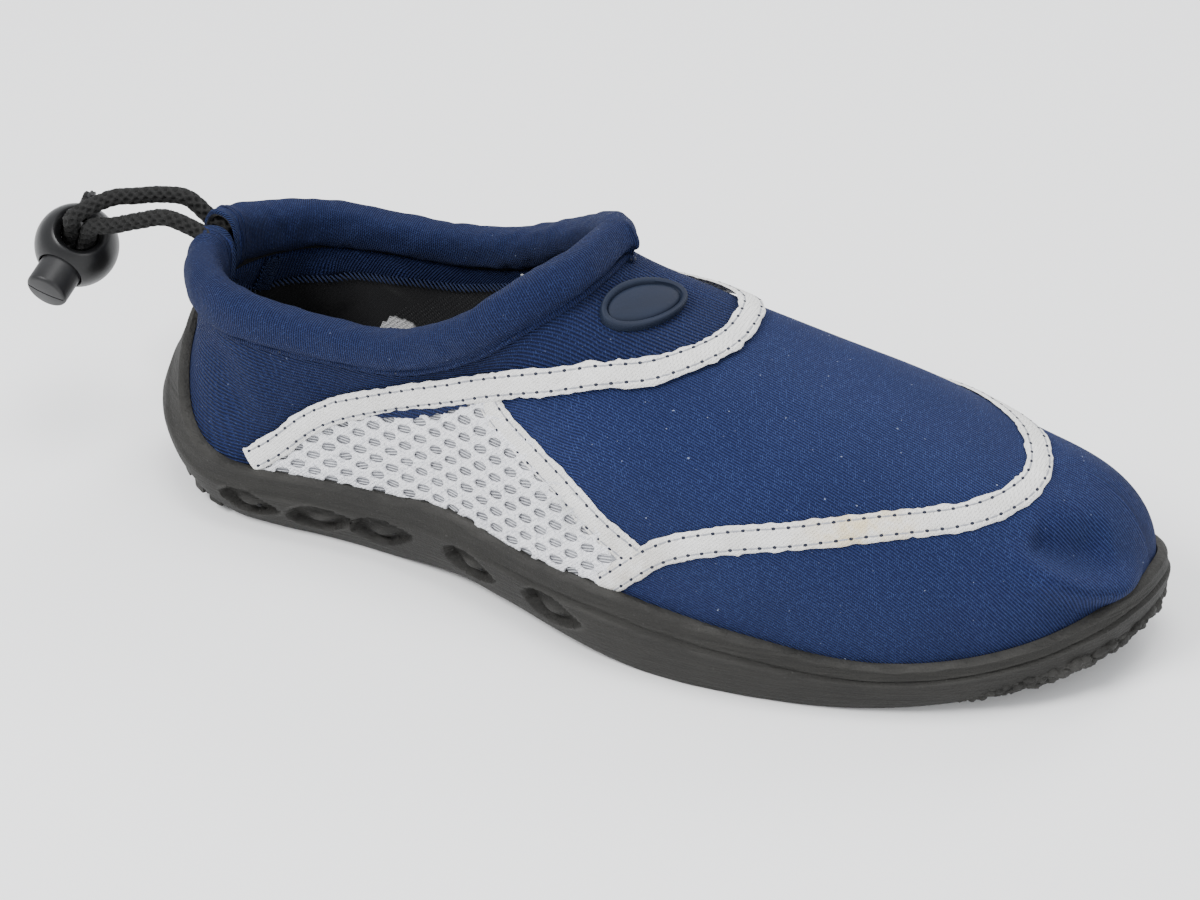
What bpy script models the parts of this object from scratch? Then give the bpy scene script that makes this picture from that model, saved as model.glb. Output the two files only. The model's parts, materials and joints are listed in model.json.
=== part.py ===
# Water shoe for the right foot: a rubber cup sole, a stretch upper, a padded collar sleeve
# with a drawcord in it, and a ball cord lock behind the heel.
# Frame: +X to the toe, +Y to the inner (medial) side, +Z up, with the floor at z = 0.

import math
from collections import namedtuple

import bmesh
import bpy
from mathutils import Matrix, Vector
from mathutils.bvhtree import BVHTree

# Driving sizes of the sole, in metres
SOLE_LENGTH = 0.270
BALL_WIDTH = 0.100
HEEL_WIDTH = 0.074
HEEL_THICKNESS = 0.0110
FOREFOOT_THICKNESS = 0.0075
SIDE_THICKNESS = 0.0040
RIM_THICKNESS = 0.0018
RIM_HEIGHT = 0.021
TOE_SPRING = 0.0095
HEEL_SPRING = 0.006
ARCH_RISE = 0.003
TREAD_DEPTH = 0.0025
EDGE_BAND = 0.0080
SIDE_TUCK = 0.0038
BULGE_HEIGHT = 0.020

# Driving sizes of the upper and what is on it
UPPER_WALL = 0.0025
INSTEP_HEIGHT = 0.0855
COLLAR_HEIGHT = 0.0150
COLLAR_THICKNESS = 0.0100
COLLAR_SPLIT = 0.0070
THROAT_SEAT = 0.0011
INSOLE_THICKNESS = 0.0040
HEEL_PINCH = 0.0100
BADGE_LENGTH = 0.0240
BADGE_WIDTH = 0.0135
BADGE_THICKNESS = 0.0016
BADGE_RIM = 0.0014
BADGE_RIM_HEIGHT = 0.0008

# Driving sizes of the cord and its lock
CORD_DIAMETER = 0.0042
CORD_POCKET = 0.0080
LOCK_DIAMETER = 0.0225
LOCK_CENTRE = Vector((-0.1633, -0.0030, 0.0542))
CORD_HOLE_DIAMETER = 0.0104
MOUTH_DIAMETER = 0.0140
MOUTH_DEPTH = 0.0020
BUTTON_DIAMETER = 0.0116
BUTTON_REACH = 0.0172
BUTTON_BACK = 0.0016
BUTTON_TRAVEL = 0.0040

# Clearance between pieces that touch
GAP = 0.0003

# Places along the shoe, as shares of the sole's length from the heel
THROAT = 0.488
CROWN_BACK = 0.15
CROWN_FRONT = 0.875
HEEL_ROUND = 0.135
TIP_OFFSET = 0.20

LATERAL, MEDIAL = -1, 1
TOE_ROUND = {LATERAL: 0.60, MEDIAL: 0.74}
BEHIND, AHEAD = 20, 16
COLUMNS = BEHIND + AHEAD
ROWS_IN_CUP, ROWS = 3, 10

# Half widths of the sole, as shares of half the width there
Outline = namedtuple("Outline", "along lateral medial")
OUTLINE = [
    Outline(0.00, 0.98, 0.98),
    Outline(0.15, 0.97, 1.00),
    Outline(0.26, 0.90, 0.94),
    Outline(0.34, 0.89, 0.84),
    Outline(0.42, 0.94, 0.77),
    Outline(0.51, 1.00, 0.76),
    Outline(0.62, 0.97, 0.86),
    Outline(0.75, 0.96, 0.99),
    Outline(0.88, 0.97, 1.02),
    Outline(1.00, 0.97, 1.02),
]

# Height of the cup's rim over the tread, as shares of RIM_HEIGHT
Rim = namedtuple("Rim", "along lateral medial")
RIM = [
    Rim(0.000, 2.10, 2.10),
    Rim(0.020, 1.75, 1.75),
    Rim(0.060, 1.25, 1.25),
    Rim(0.120, 1.00, 1.00),
    Rim(0.220, 1.00, 1.05),
    Rim(0.340, 1.05, 1.25),
    Rim(0.450, 0.90, 1.15),
    Rim(0.560, 1.00, 0.95),
    Rim(0.680, 0.85, 0.80),
    Rim(0.800, 0.62, 0.65),
    Rim(0.920, 0.60, 0.62),
    Rim(1.000, 0.75, 0.75),
]

# How far the tread's edge lies inside the wall's widest line, as shares of SIDE_TUCK
Tuck = namedtuple("Tuck", "along depth")
TUCK = [
    Tuck(0.00, 2.60),
    Tuck(0.10, 2.20),
    Tuck(0.25, 1.70),
    Tuck(0.38, 1.30),
    Tuck(0.52, 0.70),
    Tuck(0.75, 0.60),
    Tuck(0.92, 0.70),
    Tuck(1.00, 0.90),
]

# The line over the middle of the foot: height as a share of INSTEP_HEIGHT, offset to the medial
# side as a share of BALL_WIDTH, and how full the section is (2 is an ellipse).
# Behind the throat it only shapes the sides.
Crown = namedtuple("Crown", "along height offset fullness")
CROWN = [
    Crown(0.00, 1.90, 0.00, 2.4),
    Crown(0.15, 1.90, 0.00, 2.4),
    Crown(0.30, 1.45, 0.01, 2.3),
    Crown(0.40, 1.15, 0.03, 2.2),
    Crown(0.475, 1.00, 0.04, 2.2),
    Crown(0.56, 0.90, 0.08, 2.2),
    Crown(0.66, 0.80, 0.11, 2.3),
    Crown(0.77, 0.70, 0.14, 2.25),
    Crown(0.875, 0.59, 0.15, 2.05),
    Crown(1.00, 0.45, 0.15, 2.2),
]

# The upper's top edge from the heel (0) to the throat (1), as shares of INSTEP_HEIGHT
Topline = namedtuple("Topline", "along lateral medial")
TOPLINE = [
    Topline(0.00, 0.635, 0.635),
    Topline(0.20, 0.645, 0.630),
    Topline(0.40, 0.655, 0.650),
    Topline(0.52, 0.690, 0.670),
    Topline(0.64, 0.790, 0.740),
    Topline(0.77, 0.915, 0.865),
    Topline(0.89, 0.980, 0.960),
    Topline(1.00, 1.000, 1.000),
]

# How far the heel's wall is drawn in at a height, as a share of HEEL_PINCH
Pinch = namedtuple("Pinch", "along inward")
PINCH = [
    Pinch(0.00, 0.00),
    Pinch(0.20, 0.45),
    Pinch(0.45, 0.95),
    Pinch(0.75, 0.90),
    Pinch(1.10, 0.65),
]

# The collar's height, as a share of COLLAR_HEIGHT, from the heel (0) to the throat (1)
Roll = namedtuple("Roll", "along lateral medial")
ROLL = [
    Roll(0.00, 1.16, 1.16),
    Roll(0.20, 0.94, 0.90),
    Roll(0.40, 0.72, 0.72),
    Roll(0.60, 0.70, 0.72),
    Roll(0.80, 0.74, 0.56),
    Roll(1.00, 0.58, 0.58),
]

# The hollows in the outsole's side wall: place along the sole, height of the middle over the
# tread and length as shares of RIM_HEIGHT, and slant in degrees
Hollow = namedtuple("Hollow", "along height length slant")
HOLLOWS = [
    Hollow(0.146, 0.45, 0.66, 0),
    Hollow(0.222, 0.45, 0.78, 18),
    Hollow(0.288, 0.50, 0.78, 18),
    Hollow(0.389, 0.40, 0.66, 0),
    Hollow(0.488, 0.38, 0.72, 0),
]
HOLLOW_HEIGHT = 0.0068
HOLLOW_DEPTH = 0.0018

# The bars of the tread: place along the sole, and length along it
Bar = namedtuple("Bar", "along length")
BARS = [
    Bar(0.085, 0.006),
    Bar(0.120, 0.006),
    Bar(0.170, 0.016),
    Bar(0.220, 0.006),
    Bar(0.255, 0.006),
    Bar(0.570, 0.006),
    Bar(0.605, 0.006),
    Bar(0.660, 0.018),
    Bar(0.715, 0.006),
    Bar(0.750, 0.006),
    Bar(0.785, 0.006),
    Bar(0.820, 0.006),
    Bar(0.855, 0.006),
    Bar(0.890, 0.006),
]

# The badge's middle, as shares of the way from the heel and of the turn up to the crown, and
# how far its long axis is turned from the shoe's, in degrees
BADGE_WAY = 0.508
BADGE_TURN = 0.86
BADGE_TURNED = 52

# The cord's two strands from the collar's ends to their tips behind the lock, in metres
LATERAL_ROUTE = [
    (-0.1328, -0.0050, 0.0708),
    (-0.1408, -0.0057, 0.0684),
    (-0.1488, -0.0066, 0.0655),
]
MEDIAL_ROUTE = [
    (-0.1308, 0.0030, 0.0730),
    (-0.1380, 0.0019, 0.0730),
    (-0.1448, -0.0003, 0.0721),
    (-0.1513, -0.0029, 0.0711),
]
TAILS = {
    LATERAL: [],
    MEDIAL: [
        (-0.1742, 0.0042, 0.0402),
        (-0.1760, 0.0092, 0.0398),
        (-0.1762, 0.0135, 0.0430),
        (-0.1748, 0.0155, 0.0482),
        (-0.1720, 0.0152, 0.0540),
        (-0.1692, 0.0140, 0.0588),
    ],
}


def ease(share):
    share = min(max(share, 0.0), 1.0)
    return share * share * (3 - 2 * share)


def mix(low, high, share):
    return low + (high - low) * share


def read(rows, column, along):
    """A column of a table at a place between its rows, on a smooth curve through them."""
    places = [row.along for row in rows]
    values = [getattr(row, column) for row in rows]
    if along <= places[0]:
        return values[0]
    if along >= places[-1]:
        return values[-1]
    after = next(i for i, place in enumerate(places) if place > along)
    before = after - 1

    def slope(i):
        low, high = max(i - 1, 0), min(i + 1, len(rows) - 1)
        return (values[high] - values[low]) / (places[high] - places[low])

    span = places[after] - places[before]
    t = (along - places[before]) / span
    return (
        values[before] * (1 + 2 * t) * (1 - t) ** 2
        + slope(before) * span * t * (1 - t) ** 2
        + values[after] * t * t * (3 - 2 * t)
        + slope(after) * span * t * t * (t - 1)
    )


def side_name(side):
    return "lateral" if side == LATERAL else "medial"


# The sole seen from above

def outline_y(side, along):
    """The sole's edge on one side, at a share of its length from the heel."""
    half = mix(HEEL_WIDTH, BALL_WIDTH, ease((along - 0.2) / 0.45)) / 2
    y = side * half * read(OUTLINE, side_name(side), along)
    if along < HEEL_ROUND:
        y *= math.sqrt(1 - (1 - along / HEEL_ROUND) ** 2)
    start = TOE_ROUND[side]
    if along > start:
        tip = TIP_OFFSET * BALL_WIDTH
        y = tip + (y - tip) * math.sqrt(1 - ((along - start) / (1 - start)) ** 2)
    return y


def sampled_edge(side, count=600):
    """Points of the outline at even steps along it, from the heel to the toe's tip."""
    places = [(1 - math.cos(math.pi * i / count)) / 2 for i in range(count + 1)]
    points = [Vector(((a - 0.5) * SOLE_LENGTH, outline_y(side, a))) for a in places]
    run = [0.0]
    for a, b in zip(points, points[1:]):
        run.append(run[-1] + (b - a).length)
    found = []
    after = 1
    for i in range(count + 1):
        want = run[-1] * i / count
        while after < count and run[after] < want:
            after += 1
        t = (want - run[after - 1]) / (run[after] - run[after - 1])
        found.append(points[after - 1].lerp(points[after], min(max(t, 0.0), 1.0)))
    return found


EDGE = {side: sampled_edge(side) for side in (LATERAL, MEDIAL)}
MIDDLE_Y = (min(p.y for p in EDGE[LATERAL]) + max(p.y for p in EDGE[MEDIAL])) / 2
for edge_points in EDGE.values():
    for edge_point in edge_points:
        edge_point.y -= MIDDLE_Y


def edge_at(side, way):
    """The outline's point at a share of the way round one side, past the ends too."""
    if way < 0:
        return edge_at(-side, -way)
    if way > 1:
        return edge_at(-side, 2 - way)
    run = EDGE[side]
    place = way * (len(run) - 1)
    i = min(int(place), len(run) - 2)
    return run[i].lerp(run[i + 1], place - i)


def inward_at(side, way):
    step = 0.012
    along = edge_at(side, way + step) - edge_at(side, way - step)
    return Vector((along.y, -along.x)).normalized() * side


def along_of(x):
    return x / SOLE_LENGTH + 0.5


def soft_limits(value, low, high, blend=0.06):
    """A value kept between two limits that it runs up to smoothly."""
    value = (value + low + math.hypot(value - low, blend)) / 2
    return (value + high - math.hypot(value - high, blend)) / 2


def crown_along(way):
    """Where over the middle of the foot the section from a place on the edge ends."""
    def raw(place):
        mean = (edge_at(LATERAL, place).x + edge_at(MEDIAL, place).x) / 2
        return soft_limits(along_of(mean), CROWN_BACK, CROWN_FRONT)

    first, last = raw(0.0), raw(1.0)
    return CROWN_BACK + (CROWN_FRONT - CROWN_BACK) * (raw(way) - first) / (last - first)


def way_of_throat():
    low, high = 0.2, 0.8
    for _ in range(40):
        middle = (low + high) / 2
        low, high = (middle, high) if crown_along(middle) < THROAT else (low, middle)
    return low


THROAT_WAY = way_of_throat()


# The sole seen from the side

def tread_z(x):
    """The tread's lowest surface: flat under heel and ball, raised at the arch and the ends."""
    along = along_of(x)
    heel = HEEL_SPRING * max(0.0, 1 - along / 0.10) ** 2
    arch = ARCH_RISE * ease((along - 0.27) / 0.12) * ease((0.60 - along) / 0.12)
    toe = TOE_SPRING * max(0.0, (along - 0.72) / 0.28) ** 1.8
    return heel + arch + toe


def floor_z(x):
    """The cup's floor, inside the sole."""
    thickness = mix(HEEL_THICKNESS, FOREFOOT_THICKNESS, ease((along_of(x) - 0.30) / 0.35))
    return tread_z(x) + thickness


def rim_z(side, way):
    x = edge_at(side, way).x
    return tread_z(x) + RIM_HEIGHT * read(RIM, side_name(side), along_of(x))


# The last: the outer surface of the upper, taken up from the edge to the crown

def widest_z(side, way):
    """Where the side wall is widest."""
    x = edge_at(side, way).x
    return tread_z(x) + BULGE_HEIGHT * mix(1.0, 0.65, ease((along_of(x) - 0.25) / 0.4))


def tuck_at(side, way, z):
    """How far the wall lies inside its widest line at a height below it."""
    x = edge_at(side, way).x
    top, low = widest_z(side, way), tread_z(x)
    share = max(top - z, 0.0) / (top - low)
    return SIDE_TUCK * read(TUCK, "depth", along_of(x)) * share * share


def crown_point(way):
    along = crown_along(way)
    return Vector((
        (along - 0.5) * SOLE_LENGTH,
        read(CROWN, "offset", along) * BALL_WIDTH - MIDDLE_Y,
        read(CROWN, "height", along) * INSTEP_HEIGHT,
    ))


def last_point(side, way, turn):
    """A point above the widest line: turn goes from 0 there to 1 at the crown."""
    foot = edge_at(side, way) + inward_at(side, way) * (SIDE_THICKNESS + GAP)
    crown = crown_point(way)
    power = 2 / read(CROWN, "fullness", crown_along(way))
    angle = turn * math.pi / 2
    across = 1 - max(math.cos(angle), 0.0) ** power
    z = mix(widest_z(side, way), crown.z, math.sin(angle) ** power)
    height = (z - widest_z(side, way)) / (0.72 * INSTEP_HEIGHT)
    weight = max(0.0, 1 - along_of(foot.x) / 0.30) ** 1.5
    drawn = inward_at(side, way) * HEEL_PINCH * weight * read(PINCH, "inward", height)
    flat = foot.lerp(crown.xy, across) + drawn
    return Vector((flat.x, flat.y, z))


def turn_at(side, way, z):
    """How far round the section a height is."""
    low = widest_z(side, way)
    share = min(max((z - low) / (crown_point(way).z - low), 0.0), 1.0)
    power = read(CROWN, "fullness", crown_along(way)) / 2
    return math.asin(share**power) * 2 / math.pi


def last_at(side, way, z):
    """The last's point at a height, above or below its widest line."""
    if z >= widest_z(side, way):
        return last_point(side, way, turn_at(side, way, z))
    inset = SIDE_THICKNESS + GAP + tuck_at(side, way, z)
    flat = edge_at(side, way) + inward_at(side, way) * inset
    return Vector((flat.x, flat.y, z))


def feather(side, way):
    """Where the upper meets the cup's floor."""
    x = edge_at(side, way).x
    return last_at(side, way, floor_z(x) + GAP)


def top_place(side, number):
    """The way round and the turn of a column's top end."""
    if number >= BEHIND:
        share = (number - BEHIND) / AHEAD
        return mix(THROAT_WAY, 1.0, share), 1.0
    share = number / BEHIND
    way = THROAT_WAY * (1 - (1 - share) ** 1.5)
    z = INSTEP_HEIGHT * read(TOPLINE, side_name(side), share)
    return way, turn_at(side, way, z)


def rim_way(number):
    if number >= BEHIND:
        return mix(THROAT_WAY, 1.0, (number - BEHIND) / AHEAD)
    return THROAT_WAY * number / BEHIND


def surface_point(side, number, row):
    """The upper's outer surface at a column and a row of its mesh."""
    way = rim_way(number)
    rim = rim_z(side, way)
    if row <= ROWS_IN_CUP:
        low = feather(side, way).z
        return last_at(side, way, mix(low, rim, row / ROWS_IN_CUP))
    share = (row - ROWS_IN_CUP) / (ROWS - ROWS_IN_CUP)
    top_way, top_turn = top_place(side, number)
    start = turn_at(side, way, rim)
    if rim < widest_z(side, way):
        base = last_at(side, way, rim)
        start = 0.0
        if row == ROWS_IN_CUP:
            return base
    return last_point(side, mix(way, top_way, share), mix(start, top_turn, share))


def loop_keys():
    """The columns once round the shoe: heel, lateral side, toe, medial side."""
    lateral = [(LATERAL, i) for i in range(COLUMNS + 1)]
    return lateral + [(MEDIAL, i) for i in range(COLUMNS - 1, 0, -1)]


# Building meshes

def make_material(name, colour, roughness, metallic=0.0):
    material = bpy.data.materials.new(name)
    material.use_nodes = True
    shader = material.node_tree.nodes["Principled BSDF"]
    shader.inputs["Base Color"].default_value = (*colour, 1.0)
    shader.inputs["Roughness"].default_value = roughness
    shader.inputs["Metallic"].default_value = metallic
    return material


def finish_mesh(name, bm, material, sharp_deg=40):
    bmesh.ops.recalc_face_normals(bm, faces=bm.faces)
    mesh = bpy.data.meshes.new(name)
    bm.to_mesh(mesh)
    bm.free()
    mesh.shade_smooth()
    mesh.set_sharp_from_angle(angle=math.radians(sharp_deg))
    thing = bpy.data.objects.new(name, mesh)
    thing.data.materials.append(material)
    SHOE.objects.link(thing)
    return thing


def bridge(bm, lower, upper):
    """Triangles between two closed rows of vertices, all cut on the same diagonal."""
    count = len(lower)
    for i in range(count):
        j = (i + 1) % count
        for corners in ((lower[i], lower[j], upper[j]), (lower[i], upper[j], upper[i])):
            if len(set(corners)) == 3:
                bm.faces.new(corners)


def ring_of(bm, place):
    """One vertex a column, once round the shoe, where place(side, way) says."""
    return [bm.verts.new(place(side, rim_way(number))) for side, number in loop_keys()]


def spine_at(way):
    """The point on the sole's middle line that a column runs to."""
    along = crown_along(way)
    y = (outline_y(LATERAL, along) + outline_y(MEDIAL, along)) / 2 - MIDDLE_Y
    return Vector(((along - 0.5) * SOLE_LENGTH, y))


def spine_ring(bm, height):
    """The middle line as a ring: both sides share its vertices."""
    verts = {}
    for number in range(COLUMNS + 1):
        spot = spine_at(rim_way(number))
        verts[number] = bm.verts.new((spot.x, spot.y, height(spot.x)))
    return [verts[number] for side, number in loop_keys()]


# The sole and the footbed

BED_RINGS = (0.0, 0.2, 0.5, 0.78)


def bed_rings(bm, lift, inset):
    """Rings over the cup's floor, from the footbed's edge in to the middle line."""

    def place_at(share):
        def place(side, way):
            rim = feather(side, way).xy + inward_at(side, way) * (UPPER_WALL + 2 * GAP + inset)
            at = rim.lerp(spine_at(way), share)
            return Vector((at.x, at.y, floor_z(at.x) + lift))

        return place

    rings = [ring_of(bm, place_at(share)) for share in BED_RINGS]
    return rings + [spine_ring(bm, lambda x: floor_z(x) + lift)]


def make_outsole(material):
    """The cup: tread below, side wall outside, rim, and the inside that holds the upper."""
    bm = bmesh.new()

    def wall(share, thickness):
        def place(side, way):
            low = tread_z(edge_at(side, way).x)
            at = last_at(side, way, mix(low, rim_z(side, way), share))
            out = inward_at(side, way) * -(GAP + thickness)
            return at + out.to_3d()

        return place

    def under(inset, lift):
        def place(side, way):
            low = tread_z(edge_at(side, way).x)
            at = edge_at(side, way) + inward_at(side, way) * (inset + tuck_at(side, way, low))
            return Vector((at.x, at.y, tread_z(at.x) + lift))

        return place

    def inside(share):
        def place(side, way):
            at = last_at(side, way, mix(feather(side, way).z, rim_z(side, way), share))
            return at + (inward_at(side, way) * -GAP).to_3d()

        return place

    def floor(side, way):
        at = feather(side, way).xy - inward_at(side, way) * GAP
        return Vector((at.x, at.y, floor_z(at.x)))

    rings = [
        spine_ring(bm, lambda x: tread_z(x) + TREAD_DEPTH),
        ring_of(bm, under(EDGE_BAND + 0.0010, TREAD_DEPTH)),
        ring_of(bm, under(EDGE_BAND, 0.0)),
        ring_of(bm, under(0.0016, 0.0)),
        ring_of(bm, wall(0.06, SIDE_THICKNESS - 0.0004)),
        ring_of(bm, wall(0.30, SIDE_THICKNESS)),
        ring_of(bm, wall(0.52, SIDE_THICKNESS)),
        ring_of(bm, wall(0.66, SIDE_THICKNESS * 0.92)),
        ring_of(bm, wall(0.71, SIDE_THICKNESS * 0.74)),
        ring_of(bm, wall(0.95, RIM_THICKNESS)),
        ring_of(bm, wall(1.0, RIM_THICKNESS * 0.55)),
    ]
    rings += [ring_of(bm, inside(row / ROWS_IN_CUP)) for row in range(ROWS_IN_CUP, 0, -1)]
    rings += [ring_of(bm, floor)] + bed_rings(bm, 0.0, 0.0)
    for lower, upper in zip(rings, rings[1:]):
        bridge(bm, lower, upper)
    return finish_mesh("outsole", bm, material)


def make_insole(material):
    """The footbed: it lies on the cup's floor inside the upper."""
    bm = bmesh.new()
    top = GAP + INSOLE_THICKNESS
    rings = bed_rings(bm, GAP, 0.0)[::-1]
    rings += bed_rings(bm, top - 0.0006, 0.0)[:1]
    rings += bed_rings(bm, top, 0.0008)
    for lower, upper in zip(rings, rings[1:]):
        bridge(bm, lower, upper)
    bmesh.ops.delete(bm, geom=[v for v in bm.verts if not v.link_faces], context="VERTS")
    return finish_mesh("insole", bm, material)


def upper_shell(bm):
    """The outer surface of the upper; both sides share the heel line and the line over the foot."""
    verts = {}

    def vertex(side, number, row):
        shared = number in (0, COLUMNS) or (row == ROWS and number >= BEHIND)
        key = (0 if shared else side, number, row)
        if key not in verts:
            verts[key] = bm.verts.new(surface_point(side, number, row))
        return verts[key]

    for side in (LATERAL, MEDIAL):
        for number in range(COLUMNS):
            for row in range(ROWS):
                low, high = vertex(side, number, row), vertex(side, number, row + 1)
                next_low, next_high = vertex(side, number + 1, row), vertex(side, number + 1, row + 1)
                if side == LATERAL:
                    bm.faces.new((low, next_low, high))
                    bm.faces.new((next_low, next_high, high))
                else:
                    bm.faces.new((low, high, next_high))
                    bm.faces.new((low, next_high, next_low))


def make_upper(material):
    """One hollow wall, open at the collar and underneath."""
    bm = bmesh.new()
    upper_shell(bm)
    thing = finish_mesh("upper", bm, material)
    shell = thing.modifiers.new("wall", "SOLIDIFY")
    shell.thickness = UPPER_WALL
    shell.offset = -1.0
    shell.use_even_offset = True
    return thing


# Cutters

def add_cutter(name, bm):
    bmesh.ops.recalc_face_normals(bm, faces=bm.faces)
    mesh = bpy.data.meshes.new(name)
    bm.to_mesh(mesh)
    bm.free()
    thing = bpy.data.objects.new(name, mesh)
    thing.hide_render = True
    thing.display_type = "WIRE"
    CUTTERS.objects.link(thing)
    return thing


def cut(thing, cutter, operation="DIFFERENCE"):
    step = thing.modifiers.new(cutter.name, "BOOLEAN")
    step.operation = operation
    step.solver = "EXACT"
    step.object = cutter


def placed(origin, axis, side):
    """A matrix that puts local Z on an axis and local X near a side direction."""
    z = axis.normalized()
    y = z.cross(side).normalized()
    x = y.cross(z)
    turn = Matrix((x, y, z)).transposed().to_4x4()
    return Matrix.Translation(origin) @ turn


def add_cylinder(bm, start, end, radius, end_radius=None, sides=24):
    """A cylinder or cone from one point to another."""
    axis = end - start
    helper = Vector((1, 0, 0)) if abs(axis.normalized().x) < 0.9 else Vector((0, 1, 0))
    bmesh.ops.create_cone(
        bm,
        cap_ends=True,
        segments=sides,
        radius1=radius,
        radius2=radius if end_radius is None else end_radius,
        depth=axis.length,
        matrix=placed((start + end) / 2, axis, helper),
    )


def turned(profile, place, sides=26):
    """A closed turned solid: profile rows are a height on local Z and a radius."""
    bm = bmesh.new()
    rings = []
    for z, radius in profile:
        turn = [2 * math.pi * (i + 0.5) / sides for i in range(sides)]
        spots = [place @ Vector((math.cos(a) * radius, math.sin(a) * radius, z)) for a in turn]
        rings.append([bm.verts.new(spot) for spot in spots])
    for lower, upper in zip(rings, rings[1:]):
        bridge(bm, lower, upper)
    bm.faces.new(rings[0])
    bm.faces.new(rings[-1])
    return bm


def way_at_x(side, x):
    low, high = 0.0, 1.0
    for _ in range(40):
        middle = (low + high) / 2
        low, high = (middle, high) if edge_at(side, middle).x < x else (low, middle)
    return low


def cut_hollows(outsole):
    """Five shallow oval hollows in each side wall."""
    bm = bmesh.new()
    for side in (LATERAL, MEDIAL):
        for hollow in HOLLOWS:
            way = way_at_x(side, (hollow.along - 0.5) * SOLE_LENGTH)
            inward = inward_at(side, way).to_3d()
            edge = edge_at(side, way)
            low = tread_z(edge.x)
            z = low + hollow.height * RIM_HEIGHT
            wall = last_at(side, way, z) - inward * (SIDE_THICKNESS + GAP)
            along = Vector((0, 0, 1)).cross(inward) * -side
            slanted = Matrix.Rotation(math.radians(hollow.slant) * side, 3, inward) @ along
            place = placed(wall, inward, slanted)
            size = Matrix.Diagonal((hollow.length * RIM_HEIGHT / 2, HOLLOW_HEIGHT / 2, 1, 1))
            reach = 2 * HOLLOW_DEPTH
            shift = Matrix.Translation((0, 0, HOLLOW_DEPTH - reach / 2))
            bmesh.ops.create_cone(
                bm,
                cap_ends=True,
                segments=14,
                radius1=1.12,
                radius2=0.86,
                depth=reach,
                matrix=place @ shift @ size,
            )
    cut(outsole, add_cutter("side_hollows", bm))


def add_tread(outsole):
    """Bars across the hollow middle of the tread; the two wide ones are flat pads."""
    bm = bmesh.new()
    for bar in BARS:
        x = (bar.along - 0.5) * SOLE_LENGTH
        ends = []
        for side in (LATERAL, MEDIAL):
            along = along_of(x)
            y = outline_y(side, along) - MIDDLE_Y
            ends.append(y - side * (EDGE_BAND + SIDE_TUCK * 1.4 + 0.0040))
        made = bmesh.ops.create_cube(bm, size=1.0)
        for vert in made["verts"]:
            across = ends[0] if vert.co.y < 0 else ends[1]
            place = x + vert.co.x * bar.length
            lift = 0.0 if vert.co.z < 0 else TREAD_DEPTH + 0.0012
            vert.co = Vector((place, across, tread_z(place) + lift))
    cut(outsole, add_cutter("tread_bars", bm), "UNION")


# The collar

Station = namedtuple("Station", "point up out height")


def collar_stations():
    """Frames along the collar from its medial end round the throat to its lateral end."""
    keys = [(MEDIAL, i) for i in range(BEHIND + 1)]
    keys += [(LATERAL, i) for i in range(BEHIND - 1, -1, -1)]
    points = [surface_point(side, i, ROWS) for side, i in keys]
    stations = []
    for n, (side, number) in enumerate(keys):
        before = points[n - 1] if n else points[-2]
        after = points[n + 1] if n < len(keys) - 1 else points[1]
        tangent = (after - before).normalized()
        way, turn = top_place(side, number)
        share = number / BEHIND
        step = 0.01
        rise = last_point(side, way, turn) - last_point(side, way, turn - step)
        back = crown_point(way - step) - crown_point(way)
        rise -= tangent * rise.dot(tangent)
        blend = ease((share - 0.75) / 0.25)
        rise = back.normalized() if blend > 0.999 else rise.normalized().lerp(back.normalized(), blend)
        up = rise.normalized() * 0.4 + Vector((0, 0, 0.6))
        up = (up - tangent * up.dot(tangent)).normalized()
        out = up.cross(tangent).normalized()
        height = COLLAR_HEIGHT * read(ROLL, side_name(side), share)
        seat = GAP + THROAT_SEAT * blend
        point = points[n] - out * UPPER_WALL / 2 + up * (height / 2 + seat)
        stations.append(Station(point, up, out, height))
    return stations


def trimmed(stations, length):
    """The stations with a length taken off each end."""
    def shorten(run):
        left = length
        while (run[1].point - run[0].point).length < left:
            left -= (run[1].point - run[0].point).length
            run = run[1:]
        a, b = run[0], run[1]
        share = left / (b.point - a.point).length
        first = Station(*(p + (q - p) * share for p, q in zip(a, b)))
        return [first] + run[1:]

    return shorten(shorten(list(stations))[::-1])[::-1]


def roll_ring(bm, station, scale=1.0, sides=12):
    """A section of the padded roll: a full oval, taller than it is thick."""
    verts = []
    for i in range(sides):
        angle = 2 * math.pi * i / sides
        across, up = math.cos(angle), math.sin(angle)
        across = math.copysign(abs(across) ** 0.8, across) * COLLAR_THICKNESS / 2
        up = math.copysign(abs(up) ** 0.8, up) * station.height / 2
        verts.append(bm.verts.new(station.point + (station.out * across + station.up * up) * scale))
    return verts


def cord_mouths(stations):
    """Where each strand leaves the collar's ends, and from how deep: keyed by side."""
    mouths = {}
    for side, run in ((MEDIAL, stations), (LATERAL, stations[::-1])):
        first, second = run[0], run[1]
        toward_split = (first.point - second.point).normalized()
        way_out = (toward_split * 0.12 + first.out * 0.90 + first.up * 0.28).normalized()
        mouth = first.point + first.up * first.height * 0.25 + first.out * COLLAR_THICKNESS * 0.25
        mouths[side] = (mouth - way_out * CORD_POCKET, mouth, way_out)
    return mouths


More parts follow.
